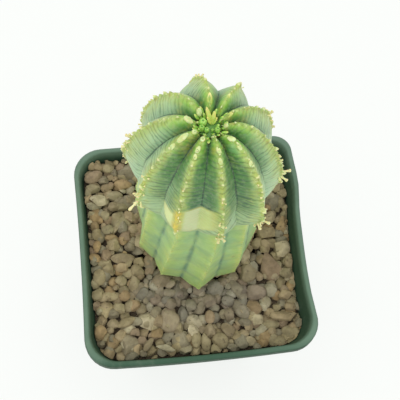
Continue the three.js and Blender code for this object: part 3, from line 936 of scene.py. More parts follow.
def plastic_finish(settings):
    """Dark satin plastic, paler on the rim's edge and the top of the inner wall, with painted shade on the
    front of the rim.
    """
    finish = Finish("pot_plastic", 0.55, Specular_IOR_Level=0.12)
    place = finish.object_place()
    across, depth, height = finish.split(place)
    haze = finish.noise(place, 45, 4, 0.6)
    grain = finish.noise(place, 900, 3, 0.6)
    streaks = finish.noise(finish.scaled(place, (300, 300, 30)), 1, 3, 0.6)
    half = RIM_WIDTH / 2
    # Painted shade: darker on the front 5 mm of the rim, half as dark towards its right end
    to_front = finish.fit(depth, -half * MM, (5 - half) * MM, 1, 0)
    shaded = finish.times(to_front, finish.fit(across, 0, half * MM, 1, 0.5))
    reach = finish.math("MAXIMUM", finish.math("ABSOLUTE", across), finish.math("ABSOLUTE", depth))
    inside = finish.fit(reach, (half - 1.5) * MM, (half - 1) * MM, 1, 0)
    band = finish.fit(height, (POT_HEIGHT - LIP_DROP) * MM, (POT_HEIGHT - WALL) * MM, 0, 0.8)
    edge = finish.fit(height, (POT_HEIGHT - 0.7) * MM, (POT_HEIGHT - 0.15) * MM)
    edge = finish.math("MAXIMUM", edge, finish.times(inside, band))
    dust = finish.times(finish.fit(haze, 0.42, 0.75), finish.fit(streaks, 0.4, 0.72), 0.18)
    # The rim's paler colour, with the painted shade laid on its front
    worn = finish.layers(
        settings.rim,
        (haze, 0.35, 0.7, 0, 0.4, paint(78, 102, 84)),
        (shaded, paint(58, 86, 68)),
    )
    finish.colour(finish.layers(
        settings.plastic,
        (haze, 0.3, 0.7, 0, 0.4, paint(48, 70, 56)),
        (edge, worn),
        (dust, settings.dust),
    ))
    finish.roughness(finish.fit(grain, 0.3, 0.7, 0.5, 0.64))
    finish.bump(finish.math("ADD", grain, finish.times(streaks, 0.5)), 0.25, 0.05 * MM)
    return finish.material


def earth_finish(name, colour, dark, light, scale):
    """Potting mix or grit: dark crumbs with lighter grains among them."""
    finish = Finish(name, 0.95)
    place = finish.object_place()
    fine = finish.noise(place, 3 * scale, 4, 0.65)
    grains = finish.noise(place, 1.7 * scale, 2, 0.5)
    finish.colour(finish.layers(dark, (fine, 0.3, 0.7, colour), (grains, 0.6, 0.68, 0, 0.7, light)))
    finish.bump(finish.math("ADD", finish.cells(place, scale), fine), 0.9, 1.2 * MM)
    return finish.material


def stone_finish():
    finish = Finish("stone", 0.88)
    place = finish.object_place()
    tone = finish.attribute("tone")
    cloud = finish.noise(place, 260, 4, 0.6)
    grain = finish.noise(place, 1500, 4, 0.65)
    pits = finish.fit(finish.noise(place, 900, 2, 0.5), 0.64, 0.74)
    colour = finish.mix(finish.fit(cloud, 0.3, 0.7, 0, 0.5), tone, paint(128, 120, 94), "MULTIPLY")
    colour = finish.mix(finish.fit(grain, 0.35, 0.7, 0, 0.28), colour, paint(214, 204, 178), "SOFT_LIGHT")
    finish.colour(finish.mix(finish.times(pits, 0.55), colour, paint(84, 70, 54)))
    height = finish.math("SUBTRACT", finish.math("ADD", cloud, finish.times(grain, 0.6)), pits)
    finish.bump(height, 0.6, 0.3 * MM)
    return finish.material


def skin_finish(settings):
    """The stem's skin: sage flanks with dark cross stripes, dark valleys, toothed lime edges, a cream patch,
    fresh green ridges near the pit and a plain lower tier. Painted shade deepens the green of the flanks on
    one side and of the valleys near the pit, and painted sheen pales the flanks turned from that side. A
    waxy bloom pales it at its edges."""
    bloom = (*paint(226, 238, 206), 1)
    finish = Finish(
        "stem_skin", 0.5, Subsurface_Weight=0.1, Subsurface_Scale=1.5 * MM,
        Sheen_Weight=0.16, Sheen_Roughness=0.5, Sheen_Tint=bloom,
    )
    fit, times, noise = finish.fit, finish.times, finish.noise
    growth, ribs, length = finish.growth()
    place = finish.object_place()
    patch, gold, tooth = finish.split(finish.attribute("marks"))
    # Painted shade and sheen: the shade attribute marks the flanks that face one side
    painted_shade_side = finish.attribute("shade", "Fac")
    cell = finish.math("FRACT", ribs)
    from_crest = times(finish.math("PINGPONG", cell, 0.5), 2)
    cloud = noise(place, 90, 3, 0.55)
    fine = noise(place, 700, 3, 0.6)
    blotch = noise(place, 170, 3, 0.6)
    specks = noise(place, 420, 3, 0.6)
    wander = noise(finish.scaled(growth, (2.2, 0.35, 1)), 1, 3, 0.55)
    no_patch = finish.math("SUBTRACT", 1, finish.math("MAXIMUM", patch, gold), clamp=True)

    # Levels, as lengths along a crest
    def level(row):
        return float(length_at(row))

    waist = level(WAIST_ROW + 0.6)
    pale_end = level(14.4)
    teal_start = level(15.4)
    uneven = finish.math("ADD", length, times(cloud, 8))
    crown = fit(uneven, waist - 1, waist + 7)
    upper = fit(uneven, level(15.2) + 4, level(17.4) + 4)
    youth = fit(uneven, level(17.6) + 4, level(19.2) + 4)

    # Cross stripes: thin at the crests, wider towards the valleys, sloping up to them in front
    slope = fit(ribs, 5.3, 6, 0.2, -1.6)
    bent = finish.math("MULTIPLY_ADD", wander, 4, times(slope, from_crest))
    turns = finish.math("DIVIDE", finish.math("ADD", length, bent), settings.stripe_pitch / MM)
    wave = finish.math("PINGPONG", finish.math("FRACT", turns), 0.5)
    width = finish.math("MULTIPLY_ADD", from_crest, 0.14, fit(blotch, 0.3, 0.7, 0.1, 0.34))
    line = fit(wave, 0.04, width, 1, 0)
    gaps = noise(finish.scaled(growth, (1.3, 0.22, 1)), 1, 2, 0.5)
    # The stripes are painted stronger on the flanks that get painted shade
    stripes = times(
        line, no_patch, fit(from_crest, 0.03, 0.14), fit(gaps, 0.3, 0.62, 0.3, 1), fit(youth, 0, 1, 1, 0.5),
        fit(painted_shade_side, 0, 0.8, 0.72, 1), fit(length, waist, waist + 14, 0.35, 1),
    )

    # Valleys and crests
    valley = times(fit(from_crest, 0.925, 0.99), fit(length, level(13.5), level(16), 0.05, 1), no_patch)
    ragged = times(finish.math("ADD", cloud, tooth), 0.1)
    band = finish.math("MULTIPLY_ADD", upper, 0.16, 0.2)
    crest = fit(finish.math("SUBTRACT", from_crest, ragged), -0.02, band, 1, 0)

    # The lower tier
    rings = noise(finish.scaled(growth, (0.7, 1.1, 1)), 1, 3, 0.6)
    mottle = noise(place, 160, 3, 0.55)
    groove = times(fit(from_crest, 0.8, 0.97), fit(blotch, 0.3, 0.6, 0.3, 0.75))
    frayed = finish.math("SUBTRACT", from_crest, times(blotch, 0.24))
    old_edge = times(fit(frayed, -0.1, 0.12, 1, 0), fit(mottle, 0.4, 0.6, 0.25, 0.85))
    old = finish.layers(
        settings.old,
        (from_crest, 0.15, 0.8, 0.8, 0, paint(162, 194, 98)),
        (cloud, 0.35, 0.7, 0, 0.4, paint(164, 190, 126)),
        (rings, 0.46, 0.7, 0, 0.2, paint(112, 152, 96)),
        (mottle, 0.48, 0.68, 0, 0.4, paint(180, 202, 108)),
        (mottle, 0.5, 0.32, 0, 0.4, paint(116, 162, 118)),
        (length, 0, 26, 0.85, 0, paint(170, 200, 90)),
        (groove, paint(88, 130, 108)),
        (old_edge, settings.old_crest),
        (noise(place, 300, 2, 0.5), 0.7, 0.75, 0, 0.4, paint(128, 112, 70)),
    )

    # The crown: its ridges near the pit, the patch, the crests and the patch's golden edge
    ridge = finish.layers(
        settings.young,
        (from_crest, 0.25, 0.85, paint(58, 116, 40)),
        (blotch, 0.5, 0.66, 0, 0.6, paint(172, 164, 70)),
        (blotch, 0.44, 0.32, 0, 0.5, paint(102, 158, 112)),
    )
    mottled = finish.layers(
        settings.patch,
        (wander, 0.4, 0.7, paint(174, 192, 116)),
        (times(fit(cell, 0.1, 0.2), fit(cell, 0.42, 0.52, 0.6, 0)), paint(198, 204, 164)),
        (cell, 0.52, 0.7, 0, 0.6, paint(190, 204, 116)),
        (ribs, 6.92, 7, 0.75, 0, paint(220, 228, 158)),
        (patch, 0.5, 0.98, 0.85, 0, paint(204, 198, 104)),
    )
    edge = finish.layers(
        settings.crest,
        (blotch, 0.4, 0.62, paint(150, 176, 92)),
        (times(line, 0.65), paint(116, 126, 56)),
        (specks, 0.56, 0.64, 0, 0.6, paint(158, 148, 70)),
        (specks, 0.44, 0.36, 0, 0.55, paint(214, 222, 156)),
    )
    golden = finish.layers(
        paint(190, 190, 76),
        (blotch, 0.4, 0.6, paint(204, 184, 64)),
        (times(line, 0.3), paint(158, 146, 66)),
    )

    # The crown from its flanks outwards
    # Painted sheen: a paler, bluish green on the flanks turned from the painted-shade side
    shaded = times(fit(from_crest, 0.3, 0.75, 0, 0.35), finish.math("SUBTRACT", 1, painted_shade_side))
    # Painted shade on the flanks of one side, fainter low on the crown
    painted_shade = times(painted_shade_side, fit(length, pale_end - 4, pale_end + 6, 0.25, 1))
    teal = times(fit(from_crest, 0.5, 0.95), fit(length, teal_start - 3, teal_start + 4), 0.45)
    olive = times(fit(blotch, 0.42, 0.62), fit(from_crest, 0.2, 0.7, 0.55, 0.1))
    front = times(fit(ribs, 5.4, 6.3), fit(ribs, 9.4, 10, 1, 0))
    new = finish.layers(
        settings.low_flank,
        (length, pale_end - 5, pale_end + 4, settings.flank),
        (cloud, 0.35, 0.7, 0, 0.35, paint(158, 190, 144)),
        (shaded, paint(146, 186, 160)),
        (painted_shade, settings.painted_shade_flank),
        # Painted shade deep in the valleys of the flanks with painted shade
        (times(painted_shade, fit(from_crest, 0.08, 0.6, 0, 0.92)), paint(54, 100, 56)),
        (teal, paint(84, 132, 98)),
        (olive, paint(164, 176, 76)),
        # Painted shade in the valleys of the front ribs near the pit
        (times(front, upper, fit(from_crest, 0.06, 0.5, 0, 0.88)), paint(64, 116, 48)),
        (times(youth, 0.92), ridge),
        (times(stripes, 0.85), finish.layers(paint(104, 128, 62), (from_crest, 0.1, 0.6, settings.stripe))),
        (times(patch, 0.94), mottled),
        (times(valley, 0.9), paint(38, 72, 50)),
        (times(crest, no_patch, fit(youth, 0, 1, 0.85, 0.6)), edge),
        (tooth, 0.3, 0.62, 0, 0.75, paint(226, 230, 172)),
        (times(gold, 0.9), golden),
    )

    finish.colour(finish.layers(old, (crown, new), (fine, 0.4, 0.75, 0, 0.16, paint(212, 224, 180))))
    finish.roughness(fit(fine, 0.3, 0.7, 0.42, 0.58))
    finish.bump(finish.math("SUBTRACT", times(fine, 0.25), times(stripes, crown, 0.5)), 0.5, 0.2 * MM)
    return finish.material


def growth_finish(name, colour, deep, shaded, roughness=0.5):
    """Soft young tissue: a colour that deepens in clouds, and another one where the model's own shade
    rises towards a tip or into a hollow."""
    finish = Finish(name, roughness, Subsurface_Weight=0.2, Subsurface_Scale=1 * MM)
    place = finish.object_place()
    cloud = finish.noise(place, 500, 3, 0.55)
    fine = finish.noise(place, 2200, 3, 0.6)
    finish.colour(finish.layers(
        colour,
        (cloud, 0.35, 0.68, 0, 0.7, deep),
        (finish.attribute("shade", "Fac"), shaded),
        (fine, 0.5, 0.75, 0, 0.2, paint(236, 240, 200)),
    ))
    finish.bump(fine, 0.3, 0.1 * MM)
    return finish.material


def floor_finish(settings):
    glow = (0.98, 1, 0.975, 1)
    finish = Finish("floor_board", 0.7, Emission_Color=glow, Emission_Strength=settings.floor_glow)
    grain = finish.noise(finish.object_place(), 60, 3, 0.5)
    finish.colour(finish.layers(settings.floor, (grain, 0.3, 0.7, 0, 0.02, paint(132, 132, 130))))
    return finish.material


# Pieces


def drain_spots():
    ends = (-DRAIN_SPREAD, DRAIN_SPREAD)
    return [(0, 0), *((x, y) for x in ends for y in ends)]


def build_pot(settings):
    half = RIM_WIDTH / 2
    lip_under = POT_HEIGHT - WALL
    lip_foot = POT_HEIGHT - LIP_DROP
    lip_edge = POT_HEIGHT - EDGE_ROUND
    pot = extruded_square((
        (wall_half(FOOT_RING) - FOOT_RING_WIDTH, FOOT_RING),
        (wall_half(0) - FOOT_RING_WIDTH, 0),
        (wall_half(0) - EDGE_ROUND, 0),
        (wall_half(EDGE_ROUND), EDGE_ROUND),
        (wall_half(SHOULDER_HEIGHT - SHOULDER_STEP), SHOULDER_HEIGHT - SHOULDER_STEP),
        (wall_half(SHOULDER_HEIGHT), SHOULDER_HEIGHT),
        (wall_half(lip_under), lip_under),
        (half - WALL, lip_under),
        (half - WALL, lip_foot),
        (half, lip_foot),
        (half, lip_edge),
        (half - EDGE_ROUND, POT_HEIGHT),
        (half - EDGE_ROUND - LIP_FLAT, POT_HEIGHT),
        (wall_half(lip_edge) - WALL, lip_edge),
        (wall_half(SHOULDER_INSIDE[1]) - WALL, SHOULDER_INSIDE[1]),
        (wall_half(SHOULDER_INSIDE[0]) - WALL, SHOULDER_INSIDE[0]),
        (wall_half(FOOT_RING + FLOOR) - WALL, FOOT_RING + FLOOR),
    ))
    sharp = math.radians(28)
    apply_modifier(pot, "BEVEL", width=0.25 * MM, segments=2, limit_method="ANGLE", angle_limit=sharp)
    level = FOOT_RING + FLOOR / 2
    cut(pot, join([post(x, y, level, DRAIN_RADIUS, 4 * FLOOR, DRAIN_SIDES) for x, y in drain_spots()]))
    smooth(pot, 30)
    keep(pot, "nursery_pot", plastic_finish(settings), ["pot"])


def make_dice(seed):
    """Repeatable random numbers from 0 to 1."""
    state = seed
    while True:
        state = (state * 1664525 + 1013904223) % 2**32
        yield state / 2**32


def strew(stones, seed, tries, widest, narrowest, overlap, wall_share):
    """Adds rows of place, length, width and turn where they are clear of wall, stem and stones."""
    dice = make_dice(seed)
    edge = wall_half(GRAVEL_TOP) - WALL - CLEARANCE
    for attempt in range(tries):
        x = edge * (2 * next(dice) - 1)
        y = edge * (2 * next(dice) - 1)
        width = lerp(widest, narrowest, attempt / tries)
        length = width * (1 + STRETCH * next(dice))
        turn = 180 * next(dice)
        off_stem = math.hypot(x - STEM_X, y - STEM_Y) > STEM_ROOM
        off_wall = max(abs(x), abs(y)) < edge - wall_share * width
        free = all(
            math.hypot(x - other[0], y - other[1])
            > overlap * (width + length + other[2] + other[3]) / 4
            for other in stones
        )
        if off_stem and off_wall and free:
            stones.append((x, y, length, width, turn))
    return stones


def inside_wall(places):
    """Places in millimetres, moved inwards where they would stand in the pot's wall."""
    half = wall_half(places[:, 2]) - WALL - CLEARANCE
    share = (places[:, 2] / POT_HEIGHT) ** 2
    moved = places.copy()
    for side in range(4):
        out, left = side_directions(side)
        along = np.clip(moved @ left / (half * (1 - CORNER_SHARE)), -1, 1)
        limit = half + side_bow(along, side) * share
        moved -= np.maximum(moved @ out - limit, 0)[:, None] * out
    for side in range(4):
        signs = corner_signs(side)
        radius = half * CORNER_SHARE * CORNER_SHARES[side]
        middle = (half - radius)[:, None] * signs
        offset = moved[:, :2] - middle
        distance = np.maximum(np.linalg.norm(offset, axis=1), 0.01)
        beyond = (offset * signs > 0).all(1) & (distance > radius)
        moved[beyond, :2] = (middle + offset * (radius / distance)[:, None])[beyond]
    return moved


def stone_models(detail, seed, worn):
    """Chips of stone of unit size: a ball with flats cut off it, its edges rounded where it is worn."""
    dice = random.Random(seed)
    models = []
    for _ in range(STONE_SHAPES):
        model = added(bpy.ops.mesh.primitive_ico_sphere_add, subdivisions=detail, radius=0.56)
        for _ in range(dice.randint(5, 8)):
            normal = Vector((dice.gauss(0, 1), dice.gauss(0, 1), dice.gauss(0, 1))).normalized()
            edit("VERT")
            bpy.ops.mesh.bisect(
                plane_co=normal * dice.uniform(0.36, 0.47), plane_no=normal, use_fill=True, clear_outer=True
            )
        bpy.ops.object.mode_set(mode="OBJECT")
        if worn:
            sharp = math.radians(24)
            apply_modifier(model, "BEVEL", width=0.07, segments=2, limit_method="ANGLE", angle_limit=sharp)
        models.append(model)
    return models


def lay_stones(name, models, rows, tones, finish, seed, drop, tilt):
    """A piece of copies of the models, one for each row of place, length, width and turn."""
    dice = random.Random(seed)
    copies = []
    for (x, y, length, width, turn), tone in zip(rows, tones):
        thickness = width * dice.uniform(0.7, 0.9)
        top = gravel_level(x, y, lerp(*STONE_STANDS, dice.random()) - drop)
        lean = turned(dice.gauss(0, tilt), "X") @ turned(dice.gauss(0, tilt), "Y")
        roll = Matrix.Rotation(dice.uniform(0, math.tau), 4, "Z")
        roll = roll @ Matrix.Rotation(dice.uniform(0, math.pi), 4, "X")
        matrix = placed((x, y, top - thickness / 2)) @ turned(turn, "Z") @ lean
        stone = copy_to(dice.choice(models), matrix @ sized(length, width, thickness) @ roll)
        # Painted shadow: the stones in front of the stem are darker and greyer
        off_axis = math.hypot(x - STEM_X, y - STEM_Y)
        painted_shadow = smoothstep(-y, *PAINTED_SHADOW_DEPTHS) * (1 - smoothstep(off_axis, *PAINTED_SHADOW_REACH))
        shade = dice.uniform(0.82, 1.14) * lerp(1, PAINTED_SHADOW_SHADE, painted_shadow)
        warmth = dice.uniform(-0.03, 0.03)
        red, green, blue = (lerp(part, tone[1], PAINTED_SHADOW_GREYNESS * painted_shadow) for part in tone)
        colour = (red * shade * (1 + warmth), green * shade, blue * shade * (1 - warmth), 1)
        layer = stone.data.color_attributes.new("tone", "FLOAT_COLOR", "POINT")
        layer.data.foreach_set("color", np.tile(colour, len(stone.data.vertices)))
        copies.append(stone)
    piece = join(copies)
    set_coordinates(piece.data, inside_wall(coordinates(piece.data) / MM) * MM)
    smooth(piece, 32)
    keep(piece, name, finish, ["gravel"])


def build_gravel(settings):
    finish = stone_finish()
    dice = random.Random(STONE_SEED)

    def tones(count):
        return [STONE_TONES[name] for name in dice.choices(list(STONE_TONES), TONE_CHANCES, k=count)]

    large = [row[:5] for row in STONES]
    large_tones = [STONE_TONES[row[5]] for row in STONES]
    models = stone_models(3, STONE_SEED, True)
    lay_stones("gravel_stones", models, large, large_tones, finish, STONE_SEED, 0, STONE_TILT)
    remove(models)

    fill = strew([*large], STONE_SEED, *FILL)[len(large):]
    seed = STONE_SEED + 1
    models = stone_models(2, seed, False)
    lay_stones("gravel_fill", models, fill, tones(len(fill)), finish, seed, 0, STONE_TILT)

    for model in models:
        apply_modifier(model, "DECIMATE", ratio=CHIP_DETAIL)
    chips = strew([], STONE_SEED + 2, *CHIPS)
    seed = STONE_SEED + 3
    lay_stones("gravel_chips", models, chips, tones(len(chips)), finish, seed, CHIP_DROP, CHIP_TILT)
    remove(models)

    build_bed(settings)


def build_bed(settings):
    """The grit that the stones lie in, up to a level parallel to their surface."""
    inset = WALL + CLEARANCE
    foot = SOIL_TOP + CLEARANCE
    level = GRAVEL_TOP - BED_DROP
    bed = extruded_square([(wall_half(z) - inset, z) for z in (foot, SHOULDER_INSIDE[1], level)])
    places = coordinates(bed.data) / MM
    top = places[:, 2] > level - CLEARANCE
    places[top, 2] = gravel_level(places[top, 0], places[top, 1], -BED_DROP)
    places[top, :2] *= ((wall_half(places[top, 2]) - inset) / (wall_half(level) - inset))[:, None]
    set_coordinates(bed.data, places * MM)
    middle = foot + BED_CUTTER_RISE
    cut(bed, post(STEM_X, STEM_Y, middle, BED_HOLE, BED_CUTTER_HEIGHT, BED_HOLE_SIDES))
    smooth(bed, 30)
    grit = earth_finish("grit", settings.bed, paint(60, 50, 38), paint(150, 134, 104), 700)
    keep(bed, "gravel_bed", grit, ["gravel"])


def crest_teeth(ribs, lengths, settings):
    """How much of a tooth stands at places on the skin, from 0 to 1."""
    from_crest = off_crest(ribs)
    rib = np.rint(ribs) % RIB_COUNT
    drift = 0.5 * np.sin(0.21 * lengths + 1.9 * rib) + 0.37 * rib
    turns = lengths / (settings.tooth_pitch / MM) + drift
    tooth = 1 - np.abs(np.sin(np.pi * turns)) ** 0.8
    uneven = 0.72 + 0.28 * np.sin(2.7 * np.rint(turns) + 4.1 * rib)
    return uneven * tooth * np.clip(1 - from_crest / 0.15, 0, 1) ** 1.4


def skin_relief(ribs, lengths, settings):
    """How far the skin stands out in millimetres: the crests' teeth, and faint folds on the flanks."""
    from_crest = off_crest(ribs)
    crown = smoothstep(lengths, float(length_at(WAIST_ROW)), float(length_at(WAIST_ROW + 1.5)))
    teeth = settings.tooth_height / MM * lerp(0.25, 1, crown) * crest_teeth(ribs, lengths, settings)
    folds = 0.05 * np.sin(2 * np.pi * (lengths - 1.6 * from_crest) / (settings.stripe_pitch / MM))
    turn = 2 * np.pi * ribs / RIB_COUNT
    swell = lerp(0.34, 0.14, crown) * np.sin(0.33 * lengths + 4 * turn) * np.sin(0.17 * lengths - 2 * turn)
    lumps = np.sin(0.62 * lengths + 17 * turn) * np.sin(0.48 * lengths - 11 * turn)
    swell += lerp(0.12, 0.04, crown) * lumps
    return smoothstep(lengths, 2, 6) * (teeth + crown * folds * smoothstep(from_crest, 0.1, 0.3) + swell)


def between(values, low, high, soft):
    """1 between two bounds, with soft edges of a width."""
    return smoothstep(values, low - soft, low + soft) * (1 - smoothstep(values, high - soft, high + soft))


def skin_marks(ribs, lengths, settings):
    """The cream patch, its golden edge and the crests' teeth at places on the skin."""
    rows = row_at(lengths)
    top = np.interp(ribs, *zip(*PATCH_TOP))
    foot = np.interp(ribs, *zip(*PATCH_FOOT))
    patch = between(rows, foot, top, 0.12) * smoothstep(ribs, PATCH_SIDES[0] - 0.04, PATCH_SIDES[0] + 0.06)
    patch *= 1 - smoothstep(ribs, PATCH_SIDES[1] - 0.26, PATCH_SIDES[1] + 0.06)
    gold = between(rows, *GOLD_ROWS, 0.12) * (1 - smoothstep(np.abs(ribs - GOLD_RIB), 0.04, 0.15))
    teeth = crest_teeth(ribs, lengths, settings)
    return np.stack((patch * (1 - gold), gold, teeth, np.ones(len(ribs))), -1)


def build_stem(settings):
    root = np.linspace(0, COLLAR_ROW, ROOT_LEVELS, endpoint=False)
    grown = row_at(np.linspace(0, GROWTH_LENGTHS[-1], SKIN_LEVELS - ROOT_LEVELS + 1))
    rows = np.concatenate([root, grown])

    def ribs_at(column):
        across = column / SKIN_COLUMNS * RIB_COUNT
        return across - COLUMN_CROWDING * np.sin(4 * np.pi * across) / (4 * np.pi)

    def place(column, level):
        return stem_surface(ribs_at(column), rows[level])

    skin = wrapped_grid(SKIN_COLUMNS, SKIN_LEVELS, place)
    layer = skin.data.uv_layers.active
    layer.name = "growth"
    column, level = np.rint(read(layer.uv, "vector", 2) * (SKIN_COLUMNS, SKIN_LEVELS)).astype(int).T
    layer.uv.foreach_set("vector", np.stack((ribs_at(column), length_at(rows[level])), -1).ravel())
    clean_shell(skin)

    mesh = skin.data
    growth = np.zeros((len(mesh.vertices), 2))
    growth[read(mesh.loops, "vertex_index", 1, int)] = read(mesh.uv_layers["growth"].uv, "vector", 2)
    ribs, lengths = growth.T
    normals = read(mesh.vertices, "normal", 3)
    relief = skin_relief(ribs, lengths, settings)
    set_coordinates(mesh, coordinates(mesh) + normals * relief[:, None] * MM)
    # The shade attribute marks where the skin gets painted shade: flanks facing the painted-shade azimuth,
    # on that side of the stem
    light = np.array(heading(PAINTED_SHADE_AZIMUTH).xy)
    outward = coordinates(mesh)[:, :2] / MM - (STEM_X, STEM_Y)
    toward = outward @ light / np.maximum(np.linalg.norm(outward, axis=1), 0.01)
    set_shade(skin, smoothstep(normals[:, :2] @ light, 0.25, 0.8) * smoothstep(toward, 0.45, 1))
    marks = mesh.color_attributes.new("marks", "FLOAT_COLOR", "POINT")
    marks.data.foreach_set("color", skin_marks(ribs, lengths, settings).ravel())
    smooth(skin)
    keep(skin, "stem_skin", skin_finish(settings), ["stem"])


def leaf_model():
    """A young leaf of unit length along Z, 1 wide and thin along Y, pointed and bent outward, with a
    groove along its middle."""
    leaf = added(bpy.ops.mesh.primitive_uv_sphere_add, segments=20, ring_count=16, radius=0.5)
    places = coordinates(leaf.data)
    along = places[:, 2] + 0.5
    taper = 1 - 0.5 * along**2
    places[:, 0] *= taper
    groove = 0.1 * np.exp(-((places[:, 0] / 0.1) ** 2)) * (places[:, 1] > 0)
    places[:, 1] = places[:, 1] * 0.45 * taper - 0.12 * np.abs(places[:, 0]) + 0.12 * along**2 - groove
    places[:, 2] = along**0.9
    set_coordinates(leaf.data, places)
    set_shade(leaf, smoothstep(along, 0.45, 1))
    smooth(leaf)
    return leaf


def leaf_copy(model, place, azimuth, length, width, rise):
    along = aim(heading(azimuth, rise), heading(azimuth, rise + 90), place)
    return copy_to(model, along @ sized(width, width, length))


def stalk_model():
    """A dried stalk of unit length and unit radius along Z, with a wider broken tip, curled over."""
    stalk = added(bpy.ops.mesh.primitive_cylinder_add, vertices=9, radius=1, depth=0.02)
    pick(stalk, "FACE", lambda face: face.normal.z > 0.9)
    steps = ((0.2, 0.86), (0.2, 0.88), (0.2, 0.92), (0.14, 1.25), (0.12, 1.35), (0.08, 1), (0.04, 0.6))
    for rise, spread in steps:
        bpy.ops.mesh.extrude_region_move(TRANSFORM_OT_translate={"value": (0, 0, rise)})
        bpy.ops.transform.resize(value=(spread, spread, 1))
    bpy.ops.object.mode_set(mode="OBJECT")
    places = coordinates(stalk.data)
    places[:, 1] += STALK_CURL * places[:, 2] ** 2
    set_coordinates(stalk.data, places)
    set_shade(stalk, smoothstep(places[:, 2], 0.75, 0.95))
    smooth(stalk, 45)
    return stalk


def scar_model():
    """An oval scar of unit size, its long way along Z, raised along Y, with a hollow on top."""
    scar = added(bpy.ops.mesh.primitive_uv_sphere_add, segments=16, ring_count=12, radius=0.5)
    places = coordinates(scar.data)
    middle = np.exp(-((places[:, 0] / 0.2) ** 2 + (places[:, 2] / 0.2) ** 2)) * (places[:, 1] > 0)
    places[:, 1] -= 0.07 * middle
    lumps = np.sin(9 * places[:, 0] + 2) * np.cos(11 * places[:, 2]) + np.sin(14 * places[:, 2] + 1)
    places *= 1 + 0.07 * lumps[:, None]
    set_coordinates(scar.data, places)
    set_shade(scar, 0.55 * smoothstep(middle, 0.5, 0.95))
    smooth(scar)
    return scar


def stalk_copy(stalk, rib, height, length, rise, turn, radius):
    """A stalk on the outside of a rib's crest, whose tip points up and aside by angles in degrees."""
    row = row_at_height(height)
    place = crest_place(rib, row)[0]
    azimuth = float(rib_azimuth(np.array(row), np.array(RIBS[rib], float)))
    inward = Vector((STEM_X, STEM_Y, place.z)) - place
    start = place + inward.normalized() * STALK_ROOT
    along = aim(heading(azimuth + turn, rise), (0, 0, 1), start)
    return copy_to(stalk, along @ sized(radius, radius, length + STALK_ROOT))


def small_stalks(stalk, seed, starts, ranges):
    """Small stalks that stray from starts of rib, height, rise and turn."""
    dice = random.Random(seed)
    copies = []
    for rib, height, rise, turn in starts:
        up, length, lift, aside, radius = (dice.uniform(*bounds) for bounds in ranges)
        copies.append(stalk_copy(stalk, rib, height + up, length, rise + lift, turn + aside, radius))
    return copies


def build_crest_growth(settings):
    scar = scar_model()
    dice = random.Random(STONE_SEED)
    copies = []
    for rib, radius, length, width in SCARS:
        place, outward, along = crest_place(rib, row_at_radius(radius))
        size = sized(width, SCAR_THICKNESS_SHARE * width, length)
        twist = turned(dice.uniform(-30, 30), "Y")
        copies.append(copy_to(scar, aim(along, outward, place + outward * 0.1) @ twist @ size))
    scars = growth_finish("scar_tissue", settings.scar, paint(178, 196, 110), paint(168, 172, 100))
    keep(join(copies), "leaf_scars", scars, ["stem"])
    remove([scar])

    leaf = leaf_model()
    copies = []
    for rib, radius, length, width, rise in YOUNG_LEAVES:
        place, outward, _ = crest_place(rib, row_at_radius(radius))
        copies.append(leaf_copy(leaf, place - outward * 0.3, RIBS[rib][0], length, width, rise))
    leaves = growth_finish("young_leaf", paint(186, 200, 100), paint(158, 186, 78), settings.leaf)
    keep(join(copies), "crest_leaves", leaves, ["stem"])
    remove([leaf])

    stalk = stalk_model()
    copies = [stalk_copy(stalk, *row, STALK_RADIUS) for row in STALKS]
    crumbs = [(row[0], row[1], row[3], row[4]) for row in STALKS for _ in range(STALK_CRUMBS)]
    tips = [(rib, 0, 0, 0) for rib in range(RIB_COUNT) for _ in range(TOOTH_TIPS)]
    copies += small_stalks(stalk, STONE_SEED + 1, crumbs, CRUMB_RANGES)
    copies += small_stalks(stalk, STONE_SEED, tips, TIP_RANGES)
    straw, dry, tip = paint(232, 228, 172), paint(216, 212, 148), paint(222, 214, 158)
    dried = growth_finish("dried_stalk", straw, dry, tip, 0.7)
    keep(join(copies), "dried_stalks", dried, ["stem"])
    remove([stalk])


def bud_model():
    """A flower bud of unit size along Z: a knob of five lobes round a dimple."""
    bud = added(bpy.ops.mesh.primitive_uv_sphere_add, segments=30, ring_count=16, radius=0.5)
    places = coordinates(bud.data)
    turn = np.arctan2(places[:, 1], places[:, 0])
    high = smoothstep(places[:, 2], -0.1, 0.35)
    lobes = 1 + 0.13 * high * np.cos(5 * turn)
    out = np.hypot(places[:, 0], places[:, 1])
    dimple = high * np.exp(-((out / 0.16) ** 2))
    places[:, :2] *= lobes[:, None]
    places[:, 2] -= 0.22 * dimple
    set_coordinates(bud.data, places)
    set_shade(bud, smoothstep(dimple, 0.3, 0.9))
    smooth(bud)
    return bud


def build_bracts(leaf):
    """Small pale-tipped scales that stand in a spiral between the buds and round them."""
    dice = random.Random(STONE_SEED)
    copies = []
    for index in range(BRACTS):
        azimuth = index * BRACT_TURN + dice.uniform(-12, 12)
        share = math.sqrt((index + 0.5) / BRACTS)
        reach = lerp(*BRACT_REACH, share)
        place = on_stem(azimuth, reach, lerp(PAD_TOP + 0.2, PAD_TOP + 1.4, share**2))
        rise = lerp(62, 30, share) + dice.uniform(-8, 8)
        copies.append(leaf_copy(leaf, place, azimuth, dice.uniform(1.6, 2.8), dice.uniform(0.9, 1.4), rise))
    bracts = growth_finish("bract", paint(150, 196, 78), paint(116, 170, 56), paint(208, 220, 124))
    keep(join(copies), "bracts", bracts, ["flower_buds"])


